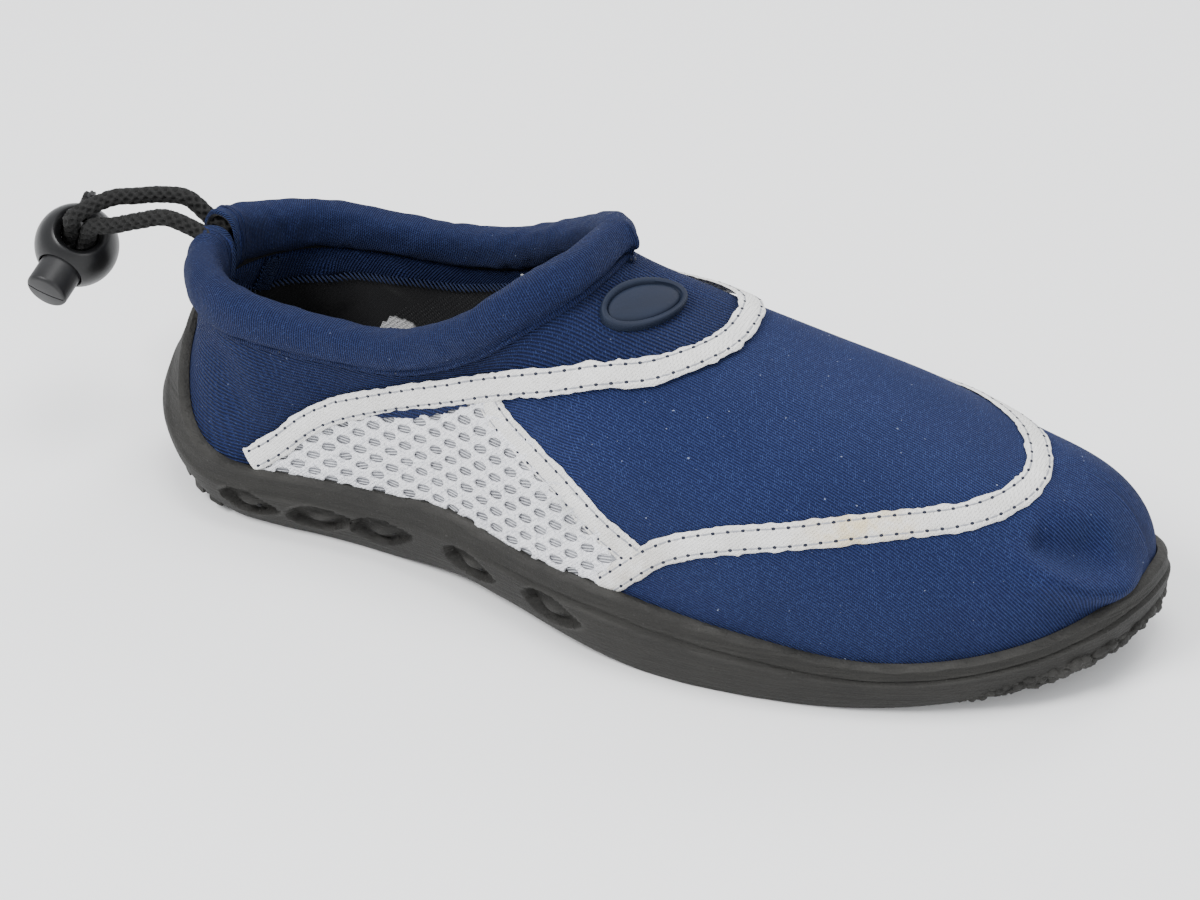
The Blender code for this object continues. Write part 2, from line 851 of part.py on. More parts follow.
def make_collar(material, stations):
    """The padded sleeve round the opening, split behind the heel, with a pocket at each end."""
    bm = bmesh.new()
    rings = []
    first, last = stations[0], stations[-1]
    rings.append(roll_ring(bm, first, 0.80))
    shorter = trimmed(stations, 0.0010)
    rings += [roll_ring(bm, station) for station in shorter]
    rings.append(roll_ring(bm, last, 0.80))
    for lower, upper in zip(rings, rings[1:]):
        bridge(bm, lower, upper)
    bm.faces.new(rings[0])
    bm.faces.new(rings[-1])
    collar = finish_mesh("collar", bm, material)
    bm = bmesh.new()
    for deep, mouth, way_out in cord_mouths(stations).values():
        end = mouth + way_out * CORD_DIAMETER
        add_cylinder(bm, deep - way_out * GAP, end, CORD_DIAMETER / 2 + 2 * GAP, sides=16)
    cut(collar, add_cutter("cord_pockets", bm))
    return collar


# The cord and its lock

HOLE_AXIS = Vector((0.45, -0.32, 0.83)).normalized()
BUTTON_AXIS = Vector((0.126, -0.983, -0.083))
BUTTON_AXIS = (BUTTON_AXIS - HOLE_AXIS * BUTTON_AXIS.dot(HOLE_AXIS)).normalized()
BESIDE = HOLE_AXIS.cross(BUTTON_AXIS)
STRAND_OFFSET = (CORD_DIAMETER + GAP) / 2

# Places along the hole as shares of the ball's diameter, and how far the strands spread there
THROUGH_LOCK = ((0.58, 1.22), (0.30, 1.0), (0.0, 1.0), (-0.30, 1.0), (-0.58, 1.0))


def smooth_route(points, step):
    """Points at even steps on a smooth curve through a route's points."""
    points = [Vector(p) for p in points]
    ends = [points[0] * 2 - points[1]] + points + [points[-1] * 2 - points[-2]]
    fine = []
    for a, b, c, d in zip(ends, ends[1:], ends[2:], ends[3:]):
        for i in range(20):
            t = i / 20
            fine.append(
                0.5 * (2 * b + (c - a) * t + (2 * a - 5 * b + 4 * c - d) * t * t
                       + (3 * b - a - 3 * c + d) * t ** 3)
            )
    fine.append(points[-1])
    found = [fine[0]]
    total = sum((q - p).length for p, q in zip(fine, fine[1:]))
    count = max(2, round(total / step))
    run, want = 0.0, total / count
    for p, q in zip(fine, fine[1:]):
        length = (q - p).length
        while run + length >= want - 1e-9 and len(found) < count:
            found.append(p.lerp(q, (want - run) / length))
            want += total / count
        run += length
    return found + [fine[-1]]


def strand_route(side, stations):
    """A strand's whole way: pocket, arc, straight down through the lock, and tail."""
    deep, mouth, way_out = cord_mouths(stations)[side]
    beside = BESIDE * STRAND_OFFSET * (1 if side == LATERAL else -1)
    through = [
        LOCK_CENTRE + beside * spread + HOLE_AXIS * LOCK_DIAMETER * share
        for share, spread in THROUGH_LOCK
    ]
    arc = LATERAL_ROUTE if side == LATERAL else MEDIAL_ROUTE
    start = [deep + way_out * (GAP + CORD_POCKET * share) for share in (0.0, 0.5, 1.0, 1.4)]
    return start + arc + through + TAILS[side]


def make_strand(name, route, material):
    curve = bpy.data.curves.new(name, "CURVE")
    curve.dimensions = "3D"
    curve.bevel_depth = CORD_DIAMETER / 2
    curve.bevel_resolution = 2
    curve.use_fill_caps = True
    points = smooth_route(route, CORD_DIAMETER * 0.75)
    spline = curve.splines.new("POLY")
    spline.points.add(len(points) - 1)
    for spot, point in zip(spline.points, points):
        spot.co = (*point, 1.0)
    thing = bpy.data.objects.new(name, curve)
    thing.data.materials.append(material)
    SHOE.objects.link(thing)
    return thing


def make_lock(body_material, button_material):
    """The ball: a hole for both strands, and a bore across it for the push button."""
    radius = LOCK_DIAMETER / 2
    bm = bmesh.new()
    place = placed(LOCK_CENTRE, HOLE_AXIS, BUTTON_AXIS)
    bmesh.ops.create_uvsphere(bm, u_segments=26, v_segments=14, radius=radius, matrix=place)
    ball = finish_mesh("cord_lock_ball", bm, body_material, 30)

    flat = math.sqrt(radius**2 - (MOUTH_DIAMETER / 2) ** 2)
    slope = (MOUTH_DIAMETER - CORD_HOLE_DIAMETER) / 2 / MOUTH_DEPTH
    beyond = 0.003
    wide = MOUTH_DIAMETER / 2 + beyond * slope
    hole = [(flat + beyond, wide), (flat - MOUTH_DEPTH, CORD_HOLE_DIAMETER / 2)]
    cut(ball, add_cutter("cord_hole", turned(hole + [(-z, r) for z, r in hole[::-1]], place)))

    slot_back = CORD_DIAMETER / 2 + GAP
    inner_end = slot_back + BUTTON_BACK
    bm = bmesh.new()
    floor = LOCK_CENTRE - BUTTON_AXIS * (inner_end + BUTTON_TRAVEL + GAP)
    add_cylinder(bm, floor, LOCK_CENTRE + BUTTON_AXIS * (radius + 0.002), BUTTON_DIAMETER / 2 + GAP, sides=28)
    cut(ball, add_cutter("button_bore", bm))

    bm = bmesh.new()
    start, tip = -BUTTON_AXIS * inner_end, BUTTON_AXIS * BUTTON_REACH
    add_cylinder(bm, start, tip - BUTTON_AXIS * 0.0008, BUTTON_DIAMETER / 2, sides=28)
    top = [f for f in bm.faces if (f.calc_center_median() - tip + BUTTON_AXIS * 0.0008).length < 1e-5]
    raised = bmesh.ops.extrude_discrete_faces(bm, faces=top)["faces"]
    rim = list({v for f in raised for v in f.verts})
    bmesh.ops.translate(bm, verts=rim, vec=BUTTON_AXIS * 0.0008)
    shrink = Matrix.Scale(0.90, 4)
    bmesh.ops.transform(bm, matrix=Matrix.Translation(tip) @ shrink @ Matrix.Translation(-tip), verts=rim)
    button = finish_mesh("cord_lock_button", bm, button_material, 30)
    button.location = LOCK_CENTRE
    slot = bmesh.new()
    wide = 2 * (STRAND_OFFSET + CORD_DIAMETER / 2 + GAP)
    long = 2 * slot_back + BUTTON_TRAVEL
    middle = LOCK_CENTRE + BUTTON_AXIS * BUTTON_TRAVEL / 2
    place = placed(middle, BUTTON_AXIS, BESIDE)
    size = Matrix.Diagonal((wide, BUTTON_DIAMETER * 1.5, long, 1))
    bmesh.ops.create_cube(slot, size=1.0, matrix=place @ size)
    cut(button, add_cutter("button_slot", slot))


def make_badge(material):
    """A blank oval badge with a raised rim, bent to the upper under it."""
    skin = bmesh.new()
    upper_shell(skin)
    skin.normal_update()
    tree = BVHTree.FromBMesh(skin)
    skin.free()
    side = LATERAL
    centre = last_point(side, BADGE_WAY, BADGE_TURN)
    along = (last_point(side, BADGE_WAY + 0.02, BADGE_TURN) - centre).normalized()
    up = last_point(side, BADGE_WAY, BADGE_TURN + 0.03) - centre
    normal = along.cross(up).normalized()
    if normal.z < 0:
        normal.negate()
    along = Matrix.Rotation(math.radians(BADGE_TURNED), 3, normal) @ along
    across = normal.cross(along)
    profile = [
        (1.0, GAP),
        (1.0, BADGE_THICKNESS),
        (0.97, BADGE_THICKNESS + BADGE_RIM_HEIGHT),
        (1 - BADGE_RIM / (BADGE_WIDTH / 2), BADGE_THICKNESS + BADGE_RIM_HEIGHT),
        (0.97 - BADGE_RIM / (BADGE_WIDTH / 2), BADGE_THICKNESS),
        (0.40, BADGE_THICKNESS),
    ]
    bm = bmesh.new()

    def spot(x, y, height):
        flat = centre + along * x + across * y
        hit = tree.ray_cast(flat + normal * 0.02, -normal)[0]
        return bm.verts.new(hit + normal * height)

    def ring(share, height, sides=28):
        verts = []
        for i in range(sides):
            angle = 2 * math.pi * i / sides
            x = math.cos(angle) * (BADGE_LENGTH / 2 - BADGE_WIDTH / 2 * (1 - share))
            verts.append(spot(x, math.sin(angle) * BADGE_WIDTH / 2 * share, height))
        return verts

    rings = [ring(0.40, GAP)] + [ring(share, height) for share, height in profile]
    for lower, upper in zip(rings, rings[1:]):
        bridge(bm, lower, upper)
    for end, height in ((rings[0], GAP), (rings[-1], BADGE_THICKNESS)):
        middle = spot(0, 0, height)
        for i in range(len(end)):
            bm.faces.new((end[i], end[(i + 1) % len(end)], middle))
    return finish_mesh("badge", bm, material, 30)


for old in list(bpy.data.objects):
    bpy.data.objects.remove(old)
SHOE = bpy.data.collections.new("water_shoe")
CUTTERS = bpy.data.collections.new("cutters")
for group in (SHOE, CUTTERS):
    bpy.context.scene.collection.children.link(group)

rubber = make_material("sole_rubber", (0.035, 0.035, 0.037), 0.75)
knit = make_material("stretch_knit", (0.015, 0.035, 0.13), 0.85)
padding = make_material("collar_knit", (0.015, 0.035, 0.13), 0.85)
foam = make_material("insole_foam", (0.012, 0.012, 0.013), 0.9)
badge_rubber = make_material("badge_rubber", (0.012, 0.026, 0.09), 0.6)
cord = make_material("cord_braid", (0.008, 0.008, 0.008), 0.9)
ball_plastic = make_material("lock_plastic", (0.01, 0.01, 0.011), 0.45)
button_plastic = make_material("button_plastic", (0.014, 0.014, 0.015), 0.4)

outsole = make_outsole(rubber)
cut_hollows(outsole)
add_tread(outsole)
make_upper(knit)
make_insole(foam)
ends = trimmed(collar_stations(), COLLAR_SPLIT / 2)
make_collar(padding, ends)
make_badge(badge_rubber)
make_strand("drawcord_lateral", strand_route(LATERAL, ends), cord)
make_strand("drawcord_medial", strand_route(MEDIAL, ends), cord)
make_lock(ball_plastic, button_plastic)
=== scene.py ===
# Water shoe, right foot: the looks. Everything is in metres, +X to the toe, +Y to the
# inner (medial) side, +Z up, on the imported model's own frame.
import json
import math
import random

import bmesh
import bpy
from mathutils import Matrix, Vector, noise
from mathutils.bvhtree import BVHTree
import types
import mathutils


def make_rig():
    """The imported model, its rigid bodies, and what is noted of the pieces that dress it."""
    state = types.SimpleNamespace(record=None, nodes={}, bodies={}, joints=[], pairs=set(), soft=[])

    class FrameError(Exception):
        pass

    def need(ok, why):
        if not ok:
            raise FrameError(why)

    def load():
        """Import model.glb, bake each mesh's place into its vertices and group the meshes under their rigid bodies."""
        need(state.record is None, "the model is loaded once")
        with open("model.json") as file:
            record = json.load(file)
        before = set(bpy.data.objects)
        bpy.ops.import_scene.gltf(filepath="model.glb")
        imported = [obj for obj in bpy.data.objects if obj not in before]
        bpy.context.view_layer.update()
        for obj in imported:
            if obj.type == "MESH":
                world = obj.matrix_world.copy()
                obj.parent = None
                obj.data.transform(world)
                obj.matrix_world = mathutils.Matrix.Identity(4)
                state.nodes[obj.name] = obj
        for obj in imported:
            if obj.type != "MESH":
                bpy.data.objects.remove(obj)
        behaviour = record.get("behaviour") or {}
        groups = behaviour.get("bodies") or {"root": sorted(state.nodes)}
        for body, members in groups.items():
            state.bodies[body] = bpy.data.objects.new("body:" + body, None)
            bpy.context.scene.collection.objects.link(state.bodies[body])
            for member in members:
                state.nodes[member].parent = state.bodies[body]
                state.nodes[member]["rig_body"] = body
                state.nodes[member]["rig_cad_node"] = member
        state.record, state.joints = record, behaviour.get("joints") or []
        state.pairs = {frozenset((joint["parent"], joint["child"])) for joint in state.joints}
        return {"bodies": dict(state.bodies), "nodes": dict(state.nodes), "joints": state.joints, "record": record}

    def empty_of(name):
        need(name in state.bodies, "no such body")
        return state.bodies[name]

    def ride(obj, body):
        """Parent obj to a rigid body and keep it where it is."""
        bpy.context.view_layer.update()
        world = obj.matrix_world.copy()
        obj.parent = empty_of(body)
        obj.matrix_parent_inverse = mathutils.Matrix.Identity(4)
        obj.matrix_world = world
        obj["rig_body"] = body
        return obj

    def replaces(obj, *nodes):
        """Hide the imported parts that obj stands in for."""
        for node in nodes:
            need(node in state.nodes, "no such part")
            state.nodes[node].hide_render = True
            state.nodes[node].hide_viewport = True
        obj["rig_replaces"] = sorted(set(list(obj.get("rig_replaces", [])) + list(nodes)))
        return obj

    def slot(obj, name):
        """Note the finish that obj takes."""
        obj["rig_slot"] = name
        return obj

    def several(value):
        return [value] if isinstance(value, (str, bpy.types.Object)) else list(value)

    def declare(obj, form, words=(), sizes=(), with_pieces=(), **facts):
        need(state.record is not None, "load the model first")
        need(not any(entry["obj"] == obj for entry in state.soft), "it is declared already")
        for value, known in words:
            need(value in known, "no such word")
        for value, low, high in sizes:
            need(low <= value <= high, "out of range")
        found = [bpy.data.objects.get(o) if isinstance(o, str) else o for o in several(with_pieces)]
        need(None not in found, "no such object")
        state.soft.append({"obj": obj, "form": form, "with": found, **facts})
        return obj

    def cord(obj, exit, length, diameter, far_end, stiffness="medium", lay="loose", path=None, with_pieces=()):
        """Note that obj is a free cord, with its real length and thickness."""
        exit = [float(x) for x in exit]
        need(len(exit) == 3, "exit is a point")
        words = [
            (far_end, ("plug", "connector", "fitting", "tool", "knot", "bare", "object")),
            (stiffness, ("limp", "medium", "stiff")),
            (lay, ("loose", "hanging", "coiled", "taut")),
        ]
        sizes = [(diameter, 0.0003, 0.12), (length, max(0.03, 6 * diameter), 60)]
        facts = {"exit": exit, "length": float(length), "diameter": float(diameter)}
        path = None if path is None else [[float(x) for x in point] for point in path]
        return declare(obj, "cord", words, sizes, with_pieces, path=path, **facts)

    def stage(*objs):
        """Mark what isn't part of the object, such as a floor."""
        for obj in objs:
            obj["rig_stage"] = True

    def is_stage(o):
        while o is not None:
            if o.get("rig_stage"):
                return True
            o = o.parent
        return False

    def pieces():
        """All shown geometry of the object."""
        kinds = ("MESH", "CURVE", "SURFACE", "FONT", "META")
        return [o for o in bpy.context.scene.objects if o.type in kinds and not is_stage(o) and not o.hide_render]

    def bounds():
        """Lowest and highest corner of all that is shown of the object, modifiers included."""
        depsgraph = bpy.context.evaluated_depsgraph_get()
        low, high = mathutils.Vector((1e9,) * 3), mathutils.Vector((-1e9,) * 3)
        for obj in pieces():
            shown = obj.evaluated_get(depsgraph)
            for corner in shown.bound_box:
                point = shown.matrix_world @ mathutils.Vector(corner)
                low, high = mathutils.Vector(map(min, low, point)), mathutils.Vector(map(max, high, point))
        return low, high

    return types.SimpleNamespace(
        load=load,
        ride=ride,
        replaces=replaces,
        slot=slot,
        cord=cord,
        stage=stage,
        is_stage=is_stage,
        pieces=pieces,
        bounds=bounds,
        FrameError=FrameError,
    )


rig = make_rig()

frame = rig.load()
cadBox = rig.bounds()
print("frame loaded:", len(frame["nodes"]), "nodes")

lateral, medial = -1, 1
gap = 0.0003

# The sole's sizes
sole = dict(
    length=0.270, ballWidth=0.100, heelWidth=0.074, heelThickness=0.0110, forefootThickness=0.0075,
    sideThickness=0.0040, rimHeight=0.021, toeSpring=0.0095, heelSpring=0.006, archRise=0.003,
    treadDepth=0.0025, edgeBand=0.0080, tuck=0.0038, bulge=0.020,
)

# The upper's sizes
upper = dict(
    wall=0.0025, instep=0.0855, collarHeight=0.0150, collarThickness=0.0100, split=0.0070,
    throatSeat=0.0011, pinch=0.0100, insole=0.0040,
)
throat, crownBack, crownFront, heelRound, tipOffset = 0.488, 0.15, 0.875, 0.135, 0.20
toeRound = {lateral: 0.60, medial: 0.74}
behind, ahead = 20, 16          # columns from the heel to the throat, and on to the toe
columns = behind + ahead
cupRows, rows = 3, 10           # rows inside the cup, and in all

# Half widths as shares of half the width there: along, lateral, medial
outlineRows = [
    (0.00, 0.98, 0.98), (0.15, 0.97, 1.00), (0.26, 0.90, 0.94), (0.34, 0.89, 0.84),
    (0.42, 0.94, 0.77), (0.51, 1.00, 0.76), (0.62, 0.97, 0.86), (0.75, 0.96, 0.99),
    (0.88, 0.97, 1.02), (1.00, 0.97, 1.02),
]
# The rim's height as a share of rimHeight: along, lateral, medial
rimRows = [
    (0.000, 2.10, 2.10), (0.020, 1.75, 1.75), (0.060, 1.25, 1.25), (0.120, 1.00, 1.00),
    (0.220, 1.00, 1.05), (0.340, 1.05, 1.25), (0.450, 0.90, 1.15), (0.560, 1.00, 0.95),
    (0.680, 0.85, 0.80), (0.800, 0.62, 0.65), (0.920, 0.60, 0.62), (1.000, 0.75, 0.75),
]
# How far the tread's edge lies inside the widest line: along, share of tuck
tuckRows = [
    (0.00, 2.60), (0.10, 2.20), (0.25, 1.70), (0.38, 1.30), (0.52, 0.70), (0.75, 0.60),
    (0.92, 0.70), (1.00, 0.90),
]
# The line over the foot: along, height of the instep, offset of the ball width, fullness
crownRows = [
    (0.00, 1.90, 0.00, 2.4), (0.15, 1.90, 0.00, 2.4), (0.30, 1.45, 0.01, 2.3),
    (0.40, 1.15, 0.03, 2.2), (0.475, 1.00, 0.04, 2.2), (0.56, 0.90, 0.08, 2.2),
    (0.66, 0.80, 0.11, 2.3), (0.77, 0.70, 0.14, 2.25), (0.875, 0.59, 0.15, 2.05),
    (1.00, 0.45, 0.15, 2.2),
]
# The upper's top edge as shares of the instep: from heel to throat, lateral, medial
toplineRows = [
    (0.00, 0.635, 0.635), (0.20, 0.645, 0.630), (0.40, 0.655, 0.650), (0.52, 0.690, 0.670),
    (0.64, 0.790, 0.740), (0.77, 0.915, 0.865), (0.89, 0.980, 0.960), (1.00, 1.000, 1.000),
]
# How far the heel is drawn in: height, share of pinch
pinchRows = [(0.00, 0.00), (0.20, 0.45), (0.45, 0.95), (0.75, 0.90), (1.10, 0.65)]
# The collar's height as a share of collarHeight: from heel to throat, lateral, medial
rollRows = [
    (0.00, 1.16, 1.16), (0.20, 0.94, 0.90), (0.40, 0.72, 0.72), (0.60, 0.70, 0.72),
    (0.80, 0.74, 0.56), (1.00, 0.58, 0.58),
]


def ease(share):
    share = min(max(share, 0.0), 1.0)
    return share * share * (3 - 2 * share)


def mix(low, high, share):
    return low + (high - low) * share


# A smooth curve through one column of a table
def readRow(table, column, along):
    if along <= table[0][0]:
        return table[0][column]
    if along >= table[-1][0]:
        return table[-1][column]
    after = next(i for i, row in enumerate(table) if row[0] > along)
    before = after - 1

    def slope(i):
        low, high = max(i - 1, 0), min(i + 1, len(table) - 1)
        return (table[high][column] - table[low][column]) / (table[high][0] - table[low][0])

    span = table[after][0] - table[before][0]
    t = (along - table[before][0]) / span
    return (table[before][column] * (1 + 2 * t) * (1 - t) ** 2
            + slope(before) * span * t * (1 - t) ** 2
            + table[after][column] * t * t * (3 - 2 * t)
            + slope(after) * span * t * t * (t - 1))


def sideColumn(side):
    return 1 if side == lateral else 2


# The last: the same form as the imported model's

def outlineY(side, along):
    half = mix(sole["heelWidth"], sole["ballWidth"], ease((along - 0.2) / 0.45)) / 2
    y = side * half * readRow(outlineRows, sideColumn(side), along)
    if along < heelRound:
        y *= math.sqrt(1 - (1 - along / heelRound) ** 2)
    start = toeRound[side]
    if along > start:
        tip = tipOffset * sole["ballWidth"]
        y = tip + (y - tip) * math.sqrt(1 - ((along - start) / (1 - start)) ** 2)
    return y


def sampledEdge(side, count=600):
    places = [(1 - math.cos(math.pi * i / count)) / 2 for i in range(count + 1)]
    points = [Vector(((a - 0.5) * sole["length"], outlineY(side, a))) for a in places]
    run = [0.0]
    for a, b in zip(points, points[1:]):
        run.append(run[-1] + (b - a).length)
    found = []
    after = 1
    for i in range(count + 1):
        want = run[-1] * i / count
        while after < count and run[after] < want:
            after += 1
        t = (want - run[after - 1]) / (run[after] - run[after - 1])
        found.append(points[after - 1].lerp(points[after], min(max(t, 0.0), 1.0)))
    return found


edges = {side: sampledEdge(side) for side in (lateral, medial)}
middleY = (min(p.y for p in edges[lateral]) + max(p.y for p in edges[medial])) / 2
for edgePoints in edges.values():
    for edgePoint in edgePoints:
        edgePoint.y -= middleY


def edgeAt(side, way):
    if way < 0:
        return edgeAt(-side, -way)
    if way > 1:
        return edgeAt(-side, 2 - way)
    run = edges[side]
    place = way * (len(run) - 1)
    i = min(int(place), len(run) - 2)
    return run[i].lerp(run[i + 1], place - i)


def inwardAt(side, way):
    step = 0.012
    along = edgeAt(side, way + step) - edgeAt(side, way - step)
    return Vector((along.y, -along.x)).normalized() * side


def alongOf(x):
    return x / sole["length"] + 0.5


def crownAlong(way):
    def raw(place):
        value = alongOf((edgeAt(lateral, place).x + edgeAt(medial, place).x) / 2)
        value = (value + crownBack + math.hypot(value - crownBack, 0.06)) / 2
        return (value + crownFront - math.hypot(value - crownFront, 0.06)) / 2

    first, last = raw(0.0), raw(1.0)
    return crownBack + (crownFront - crownBack) * (raw(way) - first) / (last - first)


# The place where a test stops being true, by halving
def halved(low, high, before):
    for _ in range(40):
        middle = (low + high) / 2
        low, high = (middle, high) if before(middle) else (low, middle)
    return low


throatWay = halved(0.2, 0.8, lambda way: crownAlong(way) < throat)


def treadZ(x):
    along = alongOf(x)
    heel = sole["heelSpring"] * max(0.0, 1 - along / 0.10) ** 2
    arch = sole["archRise"] * ease((along - 0.27) / 0.12) * ease((0.60 - along) / 0.12)
    toe = sole["toeSpring"] * max(0.0, (along - 0.72) / 0.28) ** 1.8
    return heel + arch + toe


def floorZ(x):
    share = ease((alongOf(x) - 0.30) / 0.35)
    return treadZ(x) + mix(sole["heelThickness"], sole["forefootThickness"], share)


def rimZ(side, way):
    x = edgeAt(side, way).x
    return treadZ(x) + sole["rimHeight"] * readRow(rimRows, sideColumn(side), alongOf(x))


def widestZ(side, way):
    x = edgeAt(side, way).x
    return treadZ(x) + sole["bulge"] * mix(1.0, 0.65, ease((alongOf(x) - 0.25) / 0.4))


def tuckAt(side, way, z):
    x = edgeAt(side, way).x
    top, low = widestZ(side, way), treadZ(x)
    share = max(top - z, 0.0) / (top - low)
    return sole["tuck"] * readRow(tuckRows, 1, alongOf(x)) * share * share


def crownPoint(way):
    along = crownAlong(way)
    return Vector((
        (along - 0.5) * sole["length"],
        readRow(crownRows, 2, along) * sole["ballWidth"] - middleY,
        readRow(crownRows, 1, along) * upper["instep"],
    ))


def lastPoint(side, way, turn):
    foot = edgeAt(side, way) + inwardAt(side, way) * (sole["sideThickness"] + gap)
    crown = crownPoint(way)
    power = 2 / readRow(crownRows, 3, crownAlong(way))
    angle = turn * math.pi / 2
    across = 1 - max(math.cos(angle), 0.0) ** power
    low = widestZ(side, way)
    z = mix(low, crown.z, math.sin(angle) ** power)
    height = (z - low) / (0.72 * upper["instep"])
    weight = max(0.0, 1 - alongOf(foot.x) / 0.30) ** 1.5
    drawn = inwardAt(side, way) * upper["pinch"] * weight * readRow(pinchRows, 1, height)
    flat = foot.lerp(crown.xy, across) + drawn
    return Vector((flat.x, flat.y, z))


def turnAt(side, way, z):
    low = widestZ(side, way)
    share = min(max((z - low) / (crownPoint(way).z - low), 0.0), 1.0)
    power = readRow(crownRows, 3, crownAlong(way)) / 2
    return math.asin(share**power) * 2 / math.pi


def lastAt(side, way, z):
    if z >= widestZ(side, way):
        return lastPoint(side, way, turnAt(side, way, z))
    inset = sole["sideThickness"] + gap + tuckAt(side, way, z)
    flat = edgeAt(side, way) + inwardAt(side, way) * inset
    return Vector((flat.x, flat.y, z))


def feather(side, way):
    return lastAt(side, way, floorZ(edgeAt(side, way).x) + gap)


def topPlace(side, number):
    if number >= behind:
        return mix(throatWay, 1.0, (number - behind) / ahead), 1.0
    share = number / behind
    way = throatWay * (1 - (1 - share) ** 1.5)
    return way, turnAt(side, way, upper["instep"] * readRow(toplineRows, sideColumn(side), share))


def rimWay(number):
    if number >= behind:
        return mix(throatWay, 1.0, (number - behind) / ahead)
    return throatWay * number / behind


# The upper's outer face: number runs from the heel to the toe, row from floor to top
def skinPoint(side, number, row):
    way = rimWay(number)
    rim = rimZ(side, way)
    if row <= cupRows:
        return lastAt(side, way, mix(feather(side, way).z, rim, row / cupRows))
    share = (row - cupRows) / (rows - cupRows)
    topWay, topTurn = topPlace(side, number)
    start = turnAt(side, way, rim)
    if rim < widestZ(side, way):
        start = 0.0
        foot = lastAt(side, way, rim)
        wall = lastPoint(side, mix(way, topWay, share), mix(start, topTurn, share))
        return foot.lerp(wall, ease(share * 7)) if share < 1 / 7 else wall
    return lastPoint(side, mix(way, topWay, share), mix(start, topTurn, share))


# The camera at the photograph's angle, and a soft white studio

def makeCamera():
    view = dict(azimuth=24.3, elevation=34.0, distance=0.8, focalPixels=3143, width=1200, height=900,
                centreX=638.5, centreY=455, target=(0, 0, 0.03))
    a, e = math.radians(view["azimuth"]), math.radians(view["elevation"])
    back = Vector((math.sin(a) * math.cos(e), -math.cos(a) * math.cos(e), math.sin(e)))
    data = bpy.data.cameras.new("camera")
    data.sensor_width = 36
    data.lens = view["focalPixels"] / view["width"] * 36
    data.shift_x = (view["width"] / 2 - view["centreX"]) / view["width"]
    data.shift_y = (view["centreY"] - view["height"] / 2) / view["width"]
    camera = bpy.data.objects.new("camera", data)
    camera.location = Vector(view["target"]) + back * view["distance"]
    camera.rotation_euler = back.to_track_quat("Z", "Y").to_euler()
    bpy.context.scene.collection.objects.link(camera)
    bpy.context.scene.camera = camera


makeCamera()
print("camera set")


# Shared helpers

# Smooth shading, with the edges sharper than an angle in degrees kept
def shade(mesh, sharp):
    mesh.shade_smooth()
    if sharp:
        mesh.set_sharp_from_angle(angle=math.radians(sharp))


def newPiece(name, mesh, materials, sharp):
    for material in materials:
        mesh.materials.append(material)
    shade(mesh, sharp)
    piece = bpy.data.objects.new(name, mesh)
    bpy.context.scene.collection.objects.link(piece)
    return piece


# A bmesh made a piece with its materials
def linked(name, bm, materials, sharp=None):
    mesh = bpy.data.meshes.new(name)
    bm.to_mesh(mesh)
    bm.free()
    return newPiece(name, mesh, materials, sharp)


# Works a piece's modifiers into its mesh
def finished(piece, sharp=None):
    graph = bpy.context.evaluated_depsgraph_get()
    mesh = bpy.data.meshes.new_from_object(piece.evaluated_get(graph))
    piece.modifiers.clear()
    piece.data = mesh
    shade(mesh, sharp)


def thickened(piece, thickness, offset=-1.0):
    shell = piece.modifiers.new("thick", "SOLIDIFY")
    shell.thickness = thickness
    shell.offset = offset
    return shell


def softened(piece):
    soft = piece.modifiers.new("soft", "SUBSURF")
    soft.levels = soft.render_levels = 1


# Faces between two closed rings of vertices
def bridge(bm, low, high):
    for i in range(len(low)):
        j = (i + 1) % len(low)
        bm.faces.new((low[i], low[j], high[j], high[i]))


# A grid whose vertices are moved to place(share, share), with its own UVs
def addGrid(bm, across, up, place, uvPlace=None):
    layer = bm.loops.layers.uv.verify()
    made = bmesh.ops.create_grid(bm, x_segments=across, y_segments=up, size=0.5)["verts"]
    shares = {vert: (vert.co.x + 0.5, vert.co.y + 0.5) for vert in made}
    faces = list({face for vert in made for face in vert.link_faces})
    if uvPlace:
        for face in faces:
            for loop in face.loops:
                loop[layer].uv = uvPlace(*shares[loop.vert])
    for vert, share in shares.items():
        vert.co = place(*share)
    return faces


# Turns the faces over if most of them look away from outward(face)
def facingOut(bm, faces, outward):
    bm.normal_update()
    turned = sum(1 if face.normal.dot(outward(face)) > 0 else -1 for face in faces)
    if turned < 0:
        bmesh.ops.reverse_faces(bm, faces=faces)


# A smooth curve from b to c that takes its way from the neighbours a and d
def curved(a, b, c, d, t):
    return 0.5 * (2 * b + (c - a) * t + (2 * a - 5 * b + 4 * c - d) * t * t
                  + (3 * b - a - 3 * c + d) * t ** 3)


# Points at even steps on a smooth curve through given ones
def smoothLine(points, step):
    points = [Vector(p) for p in points]
    ends = [points[0] * 2 - points[1]] + points + [points[-1] * 2 - points[-2]]
    fine = []
    for near in zip(ends, ends[1:], ends[2:], ends[3:]):
        fine += [curved(*near, i / 20) for i in range(20)]
    fine.append(points[-1])
    total = sum((q - p).length for p, q in zip(fine, fine[1:]))
    count = max(2, round(total / step))
    found, run, want = [fine[0]], 0.0, total / count
    for p, q in zip(fine, fine[1:]):
        length = (q - p).length
        while run + length >= want - 1e-9 and len(found) < count:
            found.append(p.lerp(q, (want - run) / length))
            want += total / count
        run += length
    return found + [fine[-1]]


def lengthOf(points):
    return sum((q - p).length for p, q in zip(points, points[1:]))


# A matrix that puts local Z on an axis and local X near a side direction
def placed(origin, axis, side):
    z = axis.normalized()
    y = z.cross(side).normalized()
    return Matrix.Translation(origin) @ Matrix((y.cross(z), y, z)).transposed().to_4x4()


# Materials: colours are linear red, green and blue, lengths are in metres
def newMaterial(name):
    material = bpy.data.materials.new(name)
    material.use_nodes = True
    shader = material.node_tree.nodes["Principled BSDF"]
    return material, material.node_tree, shader


